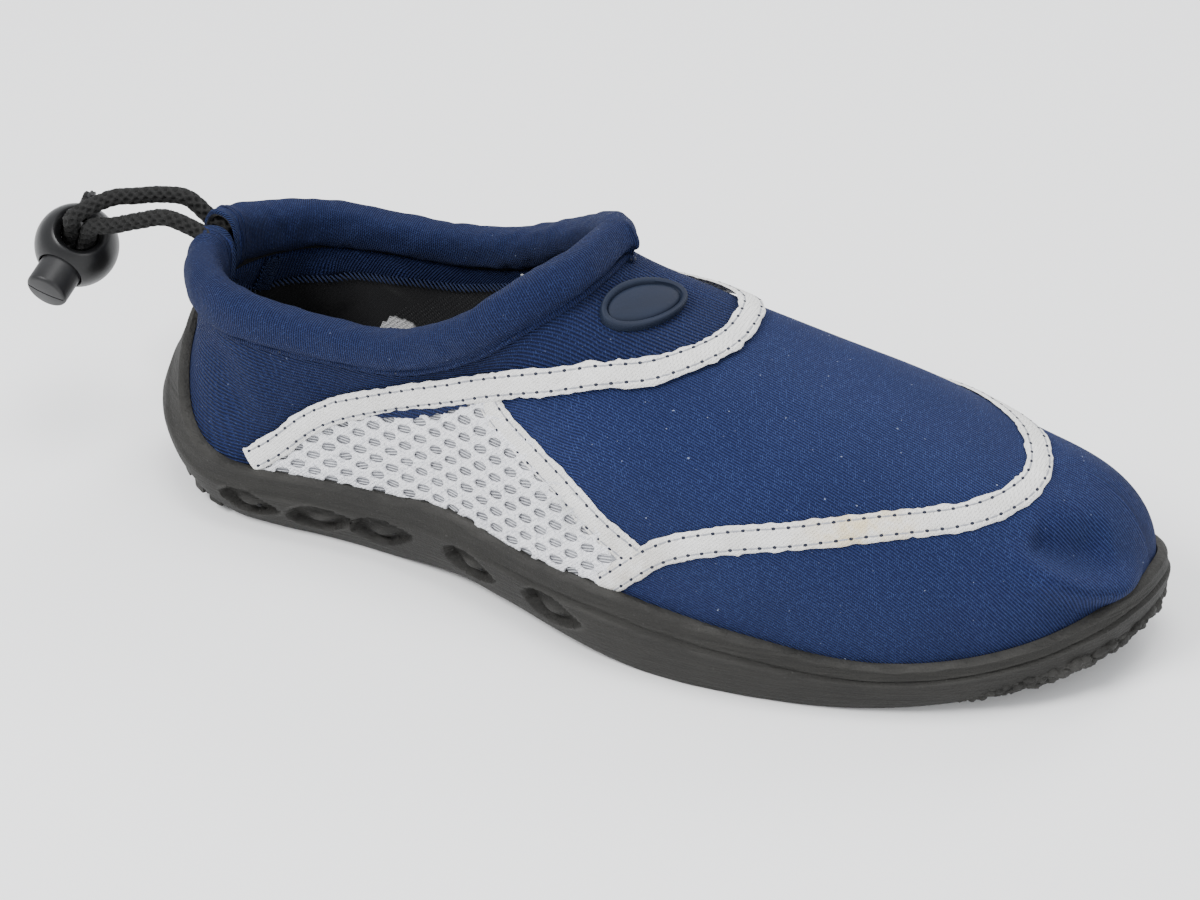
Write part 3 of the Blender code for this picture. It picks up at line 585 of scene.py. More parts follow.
def node(tree, kind, inputs=(), **settings):
    made = tree.nodes.new(kind)
    for key, value in settings.items():
        setattr(made, key, value)
    for key, value in dict(inputs).items():
        if isinstance(value, bpy.types.NodeSocket):
            tree.links.new(value, made.inputs[key])
        else:
            made.inputs[key].default_value = value
    return made


def maths(tree, operation, a, b=0.0, c=0.0):
    return node(tree, "ShaderNodeMath", {0: a, 1: b, 2: c}, operation=operation).outputs[0]


# Two colours mixed; each is a socket or three numbers
def mixed(tree, share, low, high):
    low, high = (end if isinstance(end, bpy.types.NodeSocket) else (*end, 1) for end in (low, high))
    return node(tree, "ShaderNodeMix", {0: share, 6: low, 7: high}, data_type="RGBA").outputs[2]


def noiseOf(tree, where, scale, detail=2.0, rough=0.5):
    return node(tree, "ShaderNodeTexNoise",
                {"Vector": where, "Scale": scale, "Detail": detail, "Roughness": rough}).outputs[0]


# A value stretched so that low is 0 and high is 1
def ramped(tree, value, low, high):
    return node(tree, "ShaderNodeMapRange", {0: value, 1: low, 2: high}).outputs[0]


def bumped(tree, shader, height, distance):
    made = node(tree, "ShaderNodeBump", {"Height": height, "Distance": distance, "Strength": 1.0})
    tree.links.new(made.outputs[0], shader.inputs["Normal"])


def objectPlace(tree):
    return node(tree, "ShaderNodeTexCoord").outputs["Object"]


def pointiness(tree):
    return node(tree, "ShaderNodeNewGeometry").outputs["Pointiness"]


# Links the colour and sets the shader's plain values
def surfaced(tree, shader, colour, values):
    tree.links.new(colour, shader.inputs["Base Color"])
    for name, value in values.items():
        shader.inputs[name].default_value = value


# From 0 in the groove to 1 on the ridge, once every pitch
def waveOf(tree, value, pitch):
    turn = maths(tree, "MULTIPLY", value, 2 * math.pi / pitch)
    return maths(tree, "MULTIPLY_ADD", maths(tree, "COSINE", turn), 0.5, 0.5)


# Ribs along the UV's X at look's pitch, loops across them, painted shade in the rib grooves, painted highlight flecks
# on the loop crests, and lint
def knitMaterial(name, look):
    material, tree, shader = newMaterial(name)
    spot = node(tree, "ShaderNodeUVMap").outputs[0]
    parts = node(tree, "ShaderNodeSeparateXYZ", {0: spot})
    place = objectPlace(tree)
    drift = maths(tree, "MULTIPLY", noiseOf(tree, place, 60.0), look["pitch"] * 1.2)  # ribs wander
    across = maths(tree, "ADD", parts.outputs[1], drift)
    rib = waveOf(tree, across, look["pitch"])
    slant = maths(tree, "MULTIPLY_ADD", across, look["slant"], parts.outputs[0])
    loops = waveOf(tree, slant, look["loop"])
    fibre = noiseOf(tree, place, 2600.0, 2.0, 0.7)
    rough = maths(tree, "MULTIPLY_ADD", rib, look["ribDepth"], maths(tree, "MULTIPLY", fibre, 0.35))
    height = maths(tree, "MULTIPLY_ADD", maths(tree, "MULTIPLY", rib, loops), 0.6, rough)
    # painted shade: the rib grooves are coloured toward the dark navy
    groove = mixed(tree, maths(tree, "POWER", rib, 0.8), look["dark"], look["colour"])
    # painted highlight: light specks on the loop crests, toward the light navy; each knit's share sets how much shows
    grain = maths(tree, "MULTIPLY", noiseOf(tree, place, 1500.0, 1.0, 0.6), loops)
    loopHighlight = maths(tree, "MULTIPLY", ramped(tree, grain, 0.44, 0.66), look["loopHighlight"])
    lit = mixed(tree, loopHighlight, groove, look["light"])
    cloud = ramped(tree, noiseOf(tree, place, 26.0, 3.0, 0.55), 0.30, 0.72)              # broad darker patches at random
    darkPatched = mixed(tree, maths(tree, "MULTIPLY", cloud, 0.30), lit, look["dark"])
    lint = ramped(tree, noiseOf(tree, place, 950.0, 1.0, 0.5), 0.775, 0.82)
    dusty = mixed(tree, maths(tree, "MULTIPLY", lint, look["lint"]), darkPatched, look["lintColour"])
    surfaced(tree, shader, dusty, {"Roughness": 0.86, "Specular IOR Level": 0.14, "Sheen Weight": 0.035,
                                   "Sheen Roughness": 0.45, "Sheen Tint": (0.60, 0.70, 1.0, 1)})
    bumped(tree, shader, height, look["bump"])
    return material


# What the knits share, and where each differs from it
# dark is the navy used for the painted shade in the rib grooves and for the darker patches; light is the navy of the
# painted highlight flecks on the loops
navy = dict(
    colour=(0.0130, 0.0225, 0.0880), dark=(0.0022, 0.0040, 0.0180), light=(0.054, 0.090, 0.245),
    lintColour=(0.45, 0.52, 0.68), lint=0.25, loopHighlight=0.50, pitch=0.00064, loop=0.0007, slant=0.5, ribDepth=1.0,
    bump=0.00026,
)
knitLooks = dict(
    knitHeel=dict(pitch=0.00100, ribDepth=1.2, bump=0.00036),
    knitVamp=dict(pitch=0.00068, loop=0.0006, lint=0.45, colour=(0.0195, 0.0325, 0.1200),
                  dark=(0.0034, 0.0060, 0.0270), light=(0.080, 0.130, 0.330)),
    knitHem=dict(pitch=0.00070, loop=0.0008, ribDepth=1.2, bump=0.00030, loopHighlight=0.8,
                 colour=(0.024, 0.041, 0.130)),
    knitCollar=dict(loop=0.0008, slant=0.9),
    herringbone=dict(pitch=0.00120, slant=0.3, ribDepth=1.6, bump=0.00040, loopHighlight=0.7,
                     colour=(0.030, 0.050, 0.150)),
)
knits = {name: knitMaterial(name, {**navy, **look}) for name, look in knitLooks.items()}


# How much of a mark shows: a soft stain, or at full strength a patch with a crisp, uneven edge
def markShare(tree, place, spot, reach, strength):
    away = node(tree, "ShaderNodeVectorMath", {0: place, 1: spot}, operation="DISTANCE").outputs["Value"]
    if strength == 1:
        uneven = maths(tree, "MULTIPLY_ADD", noiseOf(tree, place, 400.0, 2.0, 0.6), 0.004, away)
        return ramped(tree, uneven, reach + 0.0026, reach + 0.0014)
    soft = maths(tree, "MULTIPLY", ramped(tree, away, reach, reach * 0.2), strength)
    return maths(tree, "MULTIPLY", soft, ramped(tree, noiseOf(tree, place, 260.0, 3.0, 0.6), 0.30, 0.60))


# A plain woven or felted cloth on Object coordinates
def clothMaterial(name, look):
    material, tree, shader = newMaterial(name)
    place = objectPlace(tree)
    parts = node(tree, "ShaderNodeSeparateXYZ", {0: place})
    one = waveOf(tree, maths(tree, "ADD", parts.outputs[0], parts.outputs[2]), look["pitch"])
    two = waveOf(tree, maths(tree, "SUBTRACT", parts.outputs[0], parts.outputs[2]), look["pitch"] * 1.3)
    fibre = noiseOf(tree, place, 1800.0, 2.0, 0.7)
    height = maths(tree, "ADD", maths(tree, "MULTIPLY", maths(tree, "MAXIMUM", one, two), 0.5), fibre)
    cloud = ramped(tree, noiseOf(tree, place, 90.0, 3.0, 0.6), 0.35, 0.75)
    tint = mixed(tree, maths(tree, "MULTIPLY", cloud, look["mottle"]), look["colour"], look["stain"])
    dull = maths(tree, "MULTIPLY", ramped(tree, fibre, 0.35, 0.65), 0.25)
    worn = mixed(tree, dull, tint, look["stain"])
    for spot, reach, strength, colour in look.get("marks", []):
        worn = mixed(tree, markShare(tree, place, spot, reach, strength), worn, colour)
    if "pores" in look:
        pore = ramped(tree, noiseOf(tree, place, 1150.0, 1.0, 0.5), 0.555, 0.62)
        worn = mixed(tree, maths(tree, "MULTIPLY", pore, look["pores"]), worn, look["stain"])
    surfaced(tree, shader, worn, {"Roughness": 0.88, "Specular IOR Level": 0.25, "Sheen Weight": 0.1})
    bumped(tree, shader, height, look["bump"])
    return material


# A mark is its centre, its reach, its strength and its colour
clothLooks = dict(
    whiteTape=dict(colour=(0.86, 0.855, 0.845), stain=(0.58, 0.565, 0.53), pitch=0.0008, mottle=0.5,
                   bump=0.00045, marks=[((0.0710, -0.0290, 0.0455), 0.0190, 0.75, (0.68, 0.55, 0.30)),
                                        ((0.0180, -0.0430, 0.0290), 0.0160, 0.55, (0.50, 0.45, 0.36))]),
    whiteMesh=dict(colour=(0.93, 0.93, 0.96), stain=(0.56, 0.57, 0.62), pores=0.75, pitch=0.0009, mottle=0.30,
                   bump=0.00055, marks=[((0.0010, -0.0390, 0.0420), 0.0110, 0.60, (0.34, 0.36, 0.30))]),
    meshLining=dict(colour=(0.42, 0.43, 0.46), stain=(0.14, 0.14, 0.16), pitch=0.0012, mottle=0.8,
                    bump=0.00022),
    blackLining=dict(colour=(0.006, 0.006, 0.007), stain=(0.010, 0.010, 0.012), pitch=0.0009, mottle=0.5,
                     bump=0.00010),
    panelLining=dict(colour=(0.006, 0.006, 0.007), stain=(0.010, 0.010, 0.012), pitch=0.0012, mottle=0.5,
                     bump=0.00025, marks=[((-0.0845, 0.0280, 0.0190), 0.0150, 1, (0.62, 0.62, 0.62)),
                                          ((-0.0845, -0.0280, 0.0190), 0.0150, 1, (0.62, 0.62, 0.62))]),
    footbedCloth=dict(colour=(0.010, 0.010, 0.011), stain=(0.020, 0.020, 0.022), pitch=0.0011, mottle=0.6,
                      bump=0.00012),
    netThread=dict(colour=(0.72, 0.73, 0.76), stain=(0.42, 0.42, 0.45), pitch=0.0012, mottle=0.5, bump=0.00005),
    # the tape's white stitches, coloured grey as painted shade
    whiteStitchShadedGrey=dict(colour=(0.33, 0.34, 0.37), stain=(0.20, 0.20, 0.22), pitch=0.0003, mottle=0.4, bump=0.00005),
    whiteThread=dict(colour=(0.60, 0.60, 0.59), stain=(0.34, 0.34, 0.34), pitch=0.0003, mottle=0.3,
                     bump=0.00005),
    # dark thread for the collar's stitches, and the painted shade at the tape's needle holes
    darkThreadAndNeedleShade=dict(colour=(0.010, 0.012, 0.022), stain=(0.03, 0.035, 0.06), pitch=0.0003, mottle=0.3,
                    bump=0.00005),
    navyThread=dict(colour=(0.010, 0.018, 0.060), stain=(0.045, 0.070, 0.170), pitch=0.0003, mottle=0.3,
                    bump=0.00005),
)
cloths = {name: clothMaterial(name, look) for name, look in clothLooks.items()}


# Moulded rubber: a fine grain, faint flow marks, and a paler colour on what stands proud
def rubberMaterial(name, look):
    material, tree, shader = newMaterial(name)
    place = objectPlace(tree)
    grain = noiseOf(tree, place, 1400.0, 3.0, 0.65)
    flow = noiseOf(tree, place, 55.0, 4.0, 0.6)
    drawn = node(tree, "ShaderNodeMapping", {"Vector": place, "Scale": (70.0, 70.0, 1100.0)}).outputs[0]
    marks = noiseOf(tree, drawn, 1.0, 3.0, 0.6)
    # paler where the surface is convex, within the flowing patches
    paleOnConvex = maths(tree, "MULTIPLY", ramped(tree, pointiness(tree), 0.50, 0.56), ramped(tree, flow, 0.35, 0.7))
    streak = maths(tree, "MULTIPLY_ADD", marks, 0.5, maths(tree, "MULTIPLY", flow, 0.5))
    base = mixed(tree, ramped(tree, streak, 0.35, 0.65), look["dark"], look["colour"])
    tint = mixed(tree, maths(tree, "MULTIPLY", paleOnConvex, look["paleOnConvex"]), base, look["pale"])
    specks = ramped(tree, noiseOf(tree, place, 800.0, 1.0, 0.5), 0.74, 0.80)
    speckled = mixed(tree, maths(tree, "MULTIPLY", specks, 0.35), tint, look["pale"])
    surfaced(tree, shader, speckled, {"Specular IOR Level": look["shine"]})
    dull = node(tree, "ShaderNodeMapRange", {0: flow, 3: look["roughness"], 4: look["roughness"] + 0.2})
    tree.links.new(dull.outputs[0], shader.inputs["Roughness"])
    rough = maths(tree, "MULTIPLY_ADD", marks, look["brushed"], maths(tree, "MULTIPLY_ADD", flow, 2.0, grain))
    bumped(tree, shader, rough, look["bump"])
    return material


rubberLooks = dict(
    soleRubber=dict(colour=(0.0185, 0.0178, 0.0158), dark=(0.0098, 0.0094, 0.0084), pale=(0.07, 0.068, 0.064),
                    paleOnConvex=0.40, brushed=1.6, roughness=0.60, shine=0.30, bump=0.00038),
    badgeRubber=dict(colour=(0.0070, 0.0125, 0.0290), dark=(0.0050, 0.0088, 0.0210), pale=(0.035, 0.045, 0.07),
                     paleOnConvex=0.30, brushed=0.0, roughness=0.52, shine=0.22, bump=0.00004),
    lockPlastic=dict(colour=(0.0045, 0.0045, 0.0050), dark=(0.003, 0.003, 0.0034), pale=(0.025, 0.025, 0.026),
                     paleOnConvex=0.30, brushed=0.0, roughness=0.24, shine=0.32, bump=0.00003),
    buttonPlastic=dict(colour=(0.0085, 0.0085, 0.0092), dark=(0.005, 0.005, 0.0056), pale=(0.06, 0.06, 0.062),
                       paleOnConvex=0.30, brushed=0.0, roughness=0.34, shine=0.32, bump=0.00003),
)
rubbers = {name: rubberMaterial(name, look) for name, look in rubberLooks.items()}


# Black braid: fine threads along its bundles, with painted shade between them
def cordMaterial():
    material, tree, shader = newMaterial("cordBraid")
    fibre = noiseOf(tree, objectPlace(tree), 1900.0, 2.0, 0.7)
    thread = mixed(tree, ramped(tree, fibre, 0.35, 0.7), (0.0020, 0.0020, 0.0020), (0.0100, 0.0097, 0.0093))
    # painted shade: near black where the braid dips between its bundles
    tint = mixed(tree, ramped(tree, pointiness(tree), 0.42, 0.58), (0.0006, 0.0006, 0.0006), thread)
    surfaced(tree, shader, tint, {"Roughness": 0.72, "Specular IOR Level": 0.3, "Sheen Weight": 0.03})
    bumped(tree, shader, fibre, 0.00025)
    return material


braid = cordMaterial()
print("materials made")
# The collar's frames: point, up, out and height, from its medial end round to its lateral end

def collarKeys():
    keys = [(medial, i) for i in range(behind + 1)] + [(lateral, i) for i in range(behind - 1, -1, -1)]
    points = [skinPoint(side, i, rows) for side, i in keys]
    frames = []
    for n, (side, number) in enumerate(keys):
        before = points[n - 1] if n else points[-2]
        after = points[n + 1] if n < len(keys) - 1 else points[1]
        tangent = (after - before).normalized()
        way, turn = topPlace(side, number)
        share = number / behind
        rise = lastPoint(side, way, turn) - lastPoint(side, way, turn - 0.01)
        back = (crownPoint(way - 0.01) - crownPoint(way)).normalized()
        rise -= tangent * rise.dot(tangent)
        blend = ease((share - 0.75) / 0.25)
        rise = rise.normalized().lerp(back, blend)
        up = rise.normalized() * 0.4 + Vector((0, 0, 0.6))
        up = (up - tangent * up.dot(tangent)).normalized()
        out = up.cross(tangent).normalized()
        height = upper["collarHeight"] * readRow(rollRows, sideColumn(side), share)
        seat = gap + upper["throatSeat"] * blend
        point = points[n] - out * upper["wall"] / 2 + up * (height / 2 + seat)
        frames.append((point, up, out, height))
    return frames


# The frames with a length taken off each end
def shortened(frames, length):
    for _ in range(2):
        left = length
        while (frames[1][0] - frames[0][0]).length < left:
            left -= (frames[1][0] - frames[0][0]).length
            frames = frames[1:]
        share = left / (frames[1][0] - frames[0][0]).length
        first = tuple(a + (b - a) * share for a, b in zip(frames[0], frames[1]))
        frames = ([first] + list(frames[1:]))[::-1]
    return frames


collarFrames = shortened(collarKeys(), upper["split"] / 2)


# The cord and its lock

cords = dict(diameter=0.0042, pocket=0.008, ringStep=0.00042, ringSides=32, braidDepth=0.27, braidPitch=0.0135,
             tipLength=0.009)
lock = dict(
    diameter=0.0225, centre=Vector((-0.1633, -0.0030, 0.0542)), holeDiameter=0.0104, mouthDiameter=0.014,
    mouthDepth=0.002, buttonDiameter=0.0116, buttonReach=0.0172, buttonBack=0.0016, buttonTravel=0.004,
    buttonEdge=0.0011, slitWidth=0.00045, slitDepth=0.0005, lip=0.0007,
)
holeAxis = Vector((0.45, -0.32, 0.83)).normalized()
buttonAxis = Vector((0.126, -0.983, -0.083))
buttonAxis = (buttonAxis - holeAxis * buttonAxis.dot(holeAxis)).normalized()
beside = holeAxis.cross(buttonAxis)
strandOffset = (cords["diameter"] + gap) / 2
throughLock = [(0.58, 1.22), (0.30, 1.0), (0.0, 1.0), (-0.30, 1.0), (-0.58, 1.0)]
arcs = {
    medial: [(-0.1308, 0.0030, 0.0730), (-0.1380, 0.0019, 0.0730), (-0.1448, -0.0003, 0.0721),
             (-0.1513, -0.0029, 0.0711)],
    lateral: [(-0.1328, -0.0050, 0.0708), (-0.1408, -0.0057, 0.0684), (-0.1488, -0.0066, 0.0655)],
}
tails = {lateral: [], medial: [
    (-0.1742, 0.0042, 0.0402), (-0.1760, 0.0092, 0.0398), (-0.1762, 0.0135, 0.0430),
    (-0.1748, 0.0155, 0.0482), (-0.1720, 0.0152, 0.0540), (-0.1692, 0.0140, 0.0588),
]}


# How deep each strand starts, where it leaves the collar and which way: by side
def cordMouths():
    mouths = {}
    for side, run in ((medial, collarFrames), (lateral, collarFrames[::-1])):
        (point, up, out, height), nextPoint = run[0], run[1][0]
        leaving = ((point - nextPoint).normalized() * 0.12 + out * 0.90 + up * 0.28).normalized()
        mouth = point + up * height * 0.25 + out * upper["collarThickness"] * 0.25
        mouths[side] = (mouth - leaving * cords["pocket"], mouth, leaving)
    return mouths


def strandRoute(side):
    deep, _, leaving = cordMouths()[side]
    shift = beside * strandOffset * (1 if side == lateral else -1)
    through = [lock["centre"] + shift * spread + holeAxis * lock["diameter"] * share
               for share, spread in throughLock]
    start = [deep + leaving * (gap + cords["pocket"] * share) for share in (0.55, 0.75, 1.0, 1.4)]
    return start + arcs[side] + through + tails[side]


# Rings round a line without twist; radiusAt takes the ring's place on the line and its angle
def tubeRings(bm, points, radiusAt, sides):
    side = Vector((0, 0, 1)).cross(points[1] - points[0]).normalized()
    rings, run = [], 0.0
    for i, point in enumerate(points):
        before, after = points[max(i - 1, 0)], points[min(i + 1, len(points) - 1)]
        tangent = (after - before).normalized()
        side = (side - tangent * side.dot(tangent)).normalized()
        other = tangent.cross(side)
        if i:
            run += (point - points[i - 1]).length
        ring = []
        for k in range(sides):
            angle = 2 * math.pi * k / sides
            reach = side * math.cos(angle) + other * math.sin(angle)
            ring.append(bm.verts.new(point + reach * radiusAt(run, angle)))
        rings.append(ring)
    for low, high in zip(rings, rings[1:]):
        bridge(bm, low, high)
    bm.faces.new(rings[0][::-1])
    bm.faces.new(rings[-1])
    bmesh.ops.recalc_face_normals(bm, faces=bm.faces)
    return rings


# A round braid: bundles that cross each other on two slants
def makeStrand(side, name):
    points = smoothLine(strandRoute(side), cords["ringStep"])
    length = lengthOf(points)
    radius = cords["diameter"] / 2

    def braided(run, angle):
        turn = 2 * math.pi * run / cords["braidPitch"]
        one, two = math.cos(5 * angle + 5 * turn), math.cos(5 * angle - 5 * turn)
        return radius * (1 + cords["braidDepth"] * (max(one, two) - 0.64))

    bm = bmesh.new()
    tubeRings(bm, points, braided, cords["ringSides"])
    strand = linked(name, bm, [braid])
    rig.ride(strand, "shoe")
    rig.slot(strand, "cord_braid")
    return strand, points, length


# The sealed end of the medial strand
def makeTip(points):
    back = points[-1] - (points[-1] - points[-8]).normalized() * cords["tipLength"] * 0.6
    line = smoothLine([back, points[-1], points[-1] + (points[-1] - back) * 0.35], 0.0006)
    long = lengthOf(line)

    def tapered(run, angle):
        share = min(run / long, 1.0)
        swell = 1.12 - 0.62 * ease(share) - 0.20 * max(0.0, share - 0.9) * 10
        return cords["diameter"] / 2 * swell * (1 + 0.02 * math.cos(3 * angle))

    bm = bmesh.new()
    tubeRings(bm, line, tapered, 24)
    tip = linked("sealedTip", bm, [rubbers["buttonPlastic"]], 50)
    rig.ride(tip, "shoe")
    return tip


# A profile of (z, radius) pairs turned once round local Z, then put in place
def spun(profile, steps, place, closed=True):
    bm = bmesh.new()
    verts = [bm.verts.new((radius, 0, z)) for z, radius in profile]
    after = verts[1:] + (verts[:1] if closed else [])
    lines = [bm.edges.new(pair) for pair in zip(verts, after)]
    bmesh.ops.spin(bm, geom=verts + lines, cent=(0, 0, 0), axis=(0, 0, 1), angle=2 * math.pi,
                   steps=steps, use_merge=True)
    bmesh.ops.remove_doubles(bm, verts=bm.verts, dist=1e-6)
    bmesh.ops.transform(bm, matrix=place, verts=bm.verts)
    bmesh.ops.recalc_face_normals(bm, faces=bm.faces)
    return bm


# Cuts a tool's shape out of a piece
def carve(piece, tool):
    cutter = linked("cutter", tool, [])
    step = piece.modifiers.new("cut", "BOOLEAN")
    step.operation = "DIFFERENCE"
    step.solver = "EXACT"
    step.object = cutter
    finished(piece, 32)
    bpy.data.objects.remove(cutter)


# The lock's body: a sphere with a chamfered hole through it and the button's bore
def makeBall():
    radius, hole, wide = lock["diameter"] / 2, lock["holeDiameter"] / 2, lock["mouthDiameter"] / 2
    flat = math.sqrt(radius ** 2 - (wide + lock["lip"]) ** 2)
    start = math.asin(flat / radius)
    outer = [(math.sin(start * i / 20) * radius, math.cos(start * i / 20) * radius) for i in range(-20, 21)]
    top = [(flat + lock["lip"] * 0.30, wide + lock["lip"] * 0.45), (flat + lock["lip"] * 0.12, wide - 0.0001)]
    top += [(flat - lock["mouthDepth"] * s, mix(wide, hole, s ** 0.7)) for s in (0.25, 0.5, 0.75, 1.0)]
    inside = [((flat - lock["mouthDepth"]) * s, hole) for s in (0.6, 0.2, -0.2, -0.6)]
    profile = outer + top + inside + [(-z, r) for z, r in top[::-1]]
    ball = linked("lockBall", spun(profile, 96, placed(lock["centre"], holeAxis, buttonAxis)),
                  [rubbers["lockPlastic"]])
    bore = lock["buttonDiameter"] / 2 + gap
    deep = cords["diameter"] / 2 + gap + lock["buttonBack"] + lock["buttonTravel"] + gap
    mouth = math.sqrt(radius ** 2 - bore ** 2)
    past = radius + 0.004
    boreProfile = [(-deep, 0.0), (-deep, bore), (mouth - 0.0005, bore), (mouth + 0.0004, bore + 0.0009),
                   (past, bore + 0.0030), (past, 0.0)]
    carve(ball, spun(boreProfile, 80, placed(lock["centre"], buttonAxis, beside), closed=False))
    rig.ride(ball, "shoe")
    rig.replaces(ball, "cord_lock_ball")
    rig.slot(ball, "lock_plastic")
    return ball


# The push button: a round-edged post with a slot for the strands and a thin slit on its end
def makeButton():
    radius, edge, reach = lock["buttonDiameter"] / 2, lock["buttonEdge"], lock["buttonReach"]
    back = cords["diameter"] / 2 + gap + lock["buttonBack"]
    turns = [math.pi / 2 * i / 6 for i in range(7)]
    arc = [(reach - edge + math.sin(a) * edge, radius - edge + math.cos(a) * edge) for a in turns]
    dome = [(reach + 0.00025, radius * 0.45), (reach + 0.00035, 0.0)]
    foot = [(-back, 0.0), (-back, radius - 0.0003), (-back + 0.0003, radius)]
    place = placed(lock["centre"], buttonAxis, beside)
    button = linked("lockButton", spun(foot + arc + dome, 80, place, closed=False),
                    [rubbers["buttonPlastic"]])
    cuts = bmesh.new()
    wide = 2 * (strandOffset + cords["diameter"] / 2 + gap)
    long = cords["diameter"] + 2 * gap + lock["buttonTravel"]
    middle = lock["centre"] + buttonAxis * lock["buttonTravel"] / 2
    slot = Matrix.Diagonal((wide, lock["buttonDiameter"] * 1.5, long, 1))
    bmesh.ops.create_cube(cuts, size=1.0, matrix=placed(middle, buttonAxis, beside) @ slot)
    slit = Matrix.Diagonal((lock["buttonDiameter"] * 0.90, lock["slitWidth"], 2 * lock["slitDepth"], 1))
    tip = lock["centre"] + buttonAxis * (reach + 0.0003)
    bmesh.ops.create_cube(cuts, size=1.0, matrix=placed(tip, buttonAxis, beside + holeAxis * 0.15) @ slit)
    bmesh.ops.recalc_face_normals(cuts, faces=cuts.faces)
    carve(button, cuts)
    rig.ride(button, "button")
    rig.replaces(button, "cord_lock_button")
    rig.slot(button, "button_plastic")
    return button


lateralStrand, lateralLine, lateralLength = makeStrand(lateral, "strandLateral")
medialStrand, medialLine, medialLength = makeStrand(medial, "strandMedial")
sealedTip = makeTip(medialLine)
lockBall = makeBall()
lockButton = makeButton()
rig.replaces(lateralStrand, "drawcord_lateral")
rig.replaces(medialStrand, "drawcord_medial")
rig.cord(lateralStrand, exit=lateralLine[0], length=lateralLength, diameter=cords["diameter"], far_end="bare",
        stiffness="medium", lay="loose", path=lateralLine, with_pieces=[lockBall, lockButton])
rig.cord(medialStrand, exit=medialLine[0], length=medialLength, diameter=cords["diameter"], far_end="bare",
        stiffness="medium", lay="loose", path=medialLine, with_pieces=[lockBall, lockButton, sealedTip])
print("cords and lock made:", round(lateralLength * 1000), round(medialLength * 1000), "mm")


# The upper's skin, with the creases placed in metres: points, width, depth (ridges below 0)

creases = [
    ([(0.1065, -0.0095, 0.0420), (0.1120, -0.0070, 0.0390), (0.1175, -0.0020, 0.0360),
      (0.1215, 0.0050, 0.0345)], 0.0062, 0.0044),
    ([(0.1060, -0.0140, 0.0380), (0.1135, -0.0120, 0.0330), (0.1195, -0.0075, 0.0295),
      (0.1250, -0.0005, 0.0270), (0.1295, 0.0105, 0.0265)], 0.0036, -0.0052),
    ([(0.1050, 0.0060, 0.0480), (0.1085, 0.0100, 0.0455), (0.1100, 0.0150, 0.0435)], 0.0045, 0.0013),
    ([(-0.1040, -0.0270, 0.0510), (-0.1060, -0.0270, 0.0440), (-0.1020, -0.0290, 0.0370),
      (-0.0970, -0.0300, 0.0320)], 0.0060, 0.0016),
    ([(-0.0930, -0.0290, 0.0530), (-0.0950, -0.0290, 0.0430), (-0.0900, -0.0300, 0.0350)], 0.0050, -0.0009),
    ([(-0.1205, -0.0085, 0.0560), (-0.1190, -0.0150, 0.0520), (-0.1160, -0.0190, 0.0450),
      (-0.1150, -0.0210, 0.0380)], 0.0050, -0.0009),
    ([(-0.0700, -0.0295, 0.0560), (-0.0740, -0.0300, 0.0500), (-0.0760, -0.0300, 0.0450)], 0.0060, 0.0010),
    ([(-0.0350, -0.0310, 0.0660), (-0.0300, -0.0320, 0.0640), (-0.0230, -0.0300, 0.0670)], 0.0050, 0.0007),
    ([(0.0300, -0.0330, 0.0560), (0.0420, -0.0240, 0.0630), (0.0480, -0.0100, 0.0670)], 0.0090, 0.0007),
    ([(0.0620, -0.0330, 0.0460), (0.0680, -0.0200, 0.0560), (0.0700, 0.0000, 0.0600)], 0.0100, 0.0006),
    ([(-0.1040, 0.0270, 0.0510), (-0.1050, 0.0270, 0.0420), (-0.0990, 0.0290, 0.0340)], 0.0060, 0.0014),
    ([(-0.0800, 0.0300, 0.0520), (-0.0830, 0.0300, 0.0430)], 0.0060, 0.0009),
    ([(0.0400, 0.0330, 0.0600), (0.0500, 0.0420, 0.0480)], 0.0080, 0.0008),
]


# How deep the creases press the skin in at a spot
def creaseDepth(spot):
    depth = 0.0
    for points, width, deep in creases:
        if (spot - Vector(points[0])).length > 0.060:       # too far away to matter
            continue
        nearest, share = 1.0, 0.0
        for i, (a, b) in enumerate(zip(points, points[1:])):
            a, b = Vector(a), Vector(b)
            t = min(max((spot - a).dot(b - a) / (b - a).length_squared, 0.0), 1.0)
            away = (spot - a.lerp(b, t)).length
            if away < nearest:
                nearest, share = away, (i + t) / (len(points) - 1)
        if nearest < 3 * width:
            fade = ease(share * 3 + 0.25) * ease((1 - share) * 3 + 0.25)
            depth += deep * fade * math.exp(-(nearest / width) ** 2)
    return depth


tapes = dict(
    width=0.0070, thick=0.00065, edgeWave=0.00060, seamInset=0.0013, pitch=0.0036, step=0.0011, easing=30,
    lifts=(0.0004, 0.0004, 0.00055, 0.0013),
)

# The tapes' middle lines on the lateral side: column and row of the skin; the medial side mirrors them
tapeChart = dict(
    high=[(7.6, 3.2), (8.3, 3.9), (8.7, 5.0), (9.3, 6.1), (10.8, 7.5), (13.2, 7.4), (15.9, 7.2), (18.3, 6.8),
          (20.2, 6.9), (21.3, 7.4), (22.3, 8.3), (22.9, 9.2), (23.0, 10.0)],
    front=[(20.9, 2.8), (21.4, 3.3), (22.0, 3.8), (22.6, 4.2), (24.0, 4.8), (25.6, 5.4), (27.2, 6.1), (28.6, 6.6),
           (30.0, 7.2), (31.6, 8.3), (32.3, 9.3), (32.1, 10.0)],
    frontMedial=[(31.6, 9.5), (30.9, 9.0), (29.6, 8.0), (28.3, 7.0), (27.0, 6.2), (25.6, 5.5), (24.0, 4.8),
                 (22.6, 4.2), (21.4, 3.3), (20.9, 2.8)],
    slant=[(14.9, 7.0), (15.4, 6.3), (17.1, 5.4), (19.3, 4.5), (20.8, 4.0), (22.0, 3.7)],
)


# The row of a chart line at a column
def chartRow(line, number):
    for (n0, r0), (n1, r1) in zip(line, line[1:]):
        if n0 <= number <= n1:
            return mix(r0, r1, (number - n0) / (n1 - n0))
    return 0.0 if number < line[0][0] else 99.0


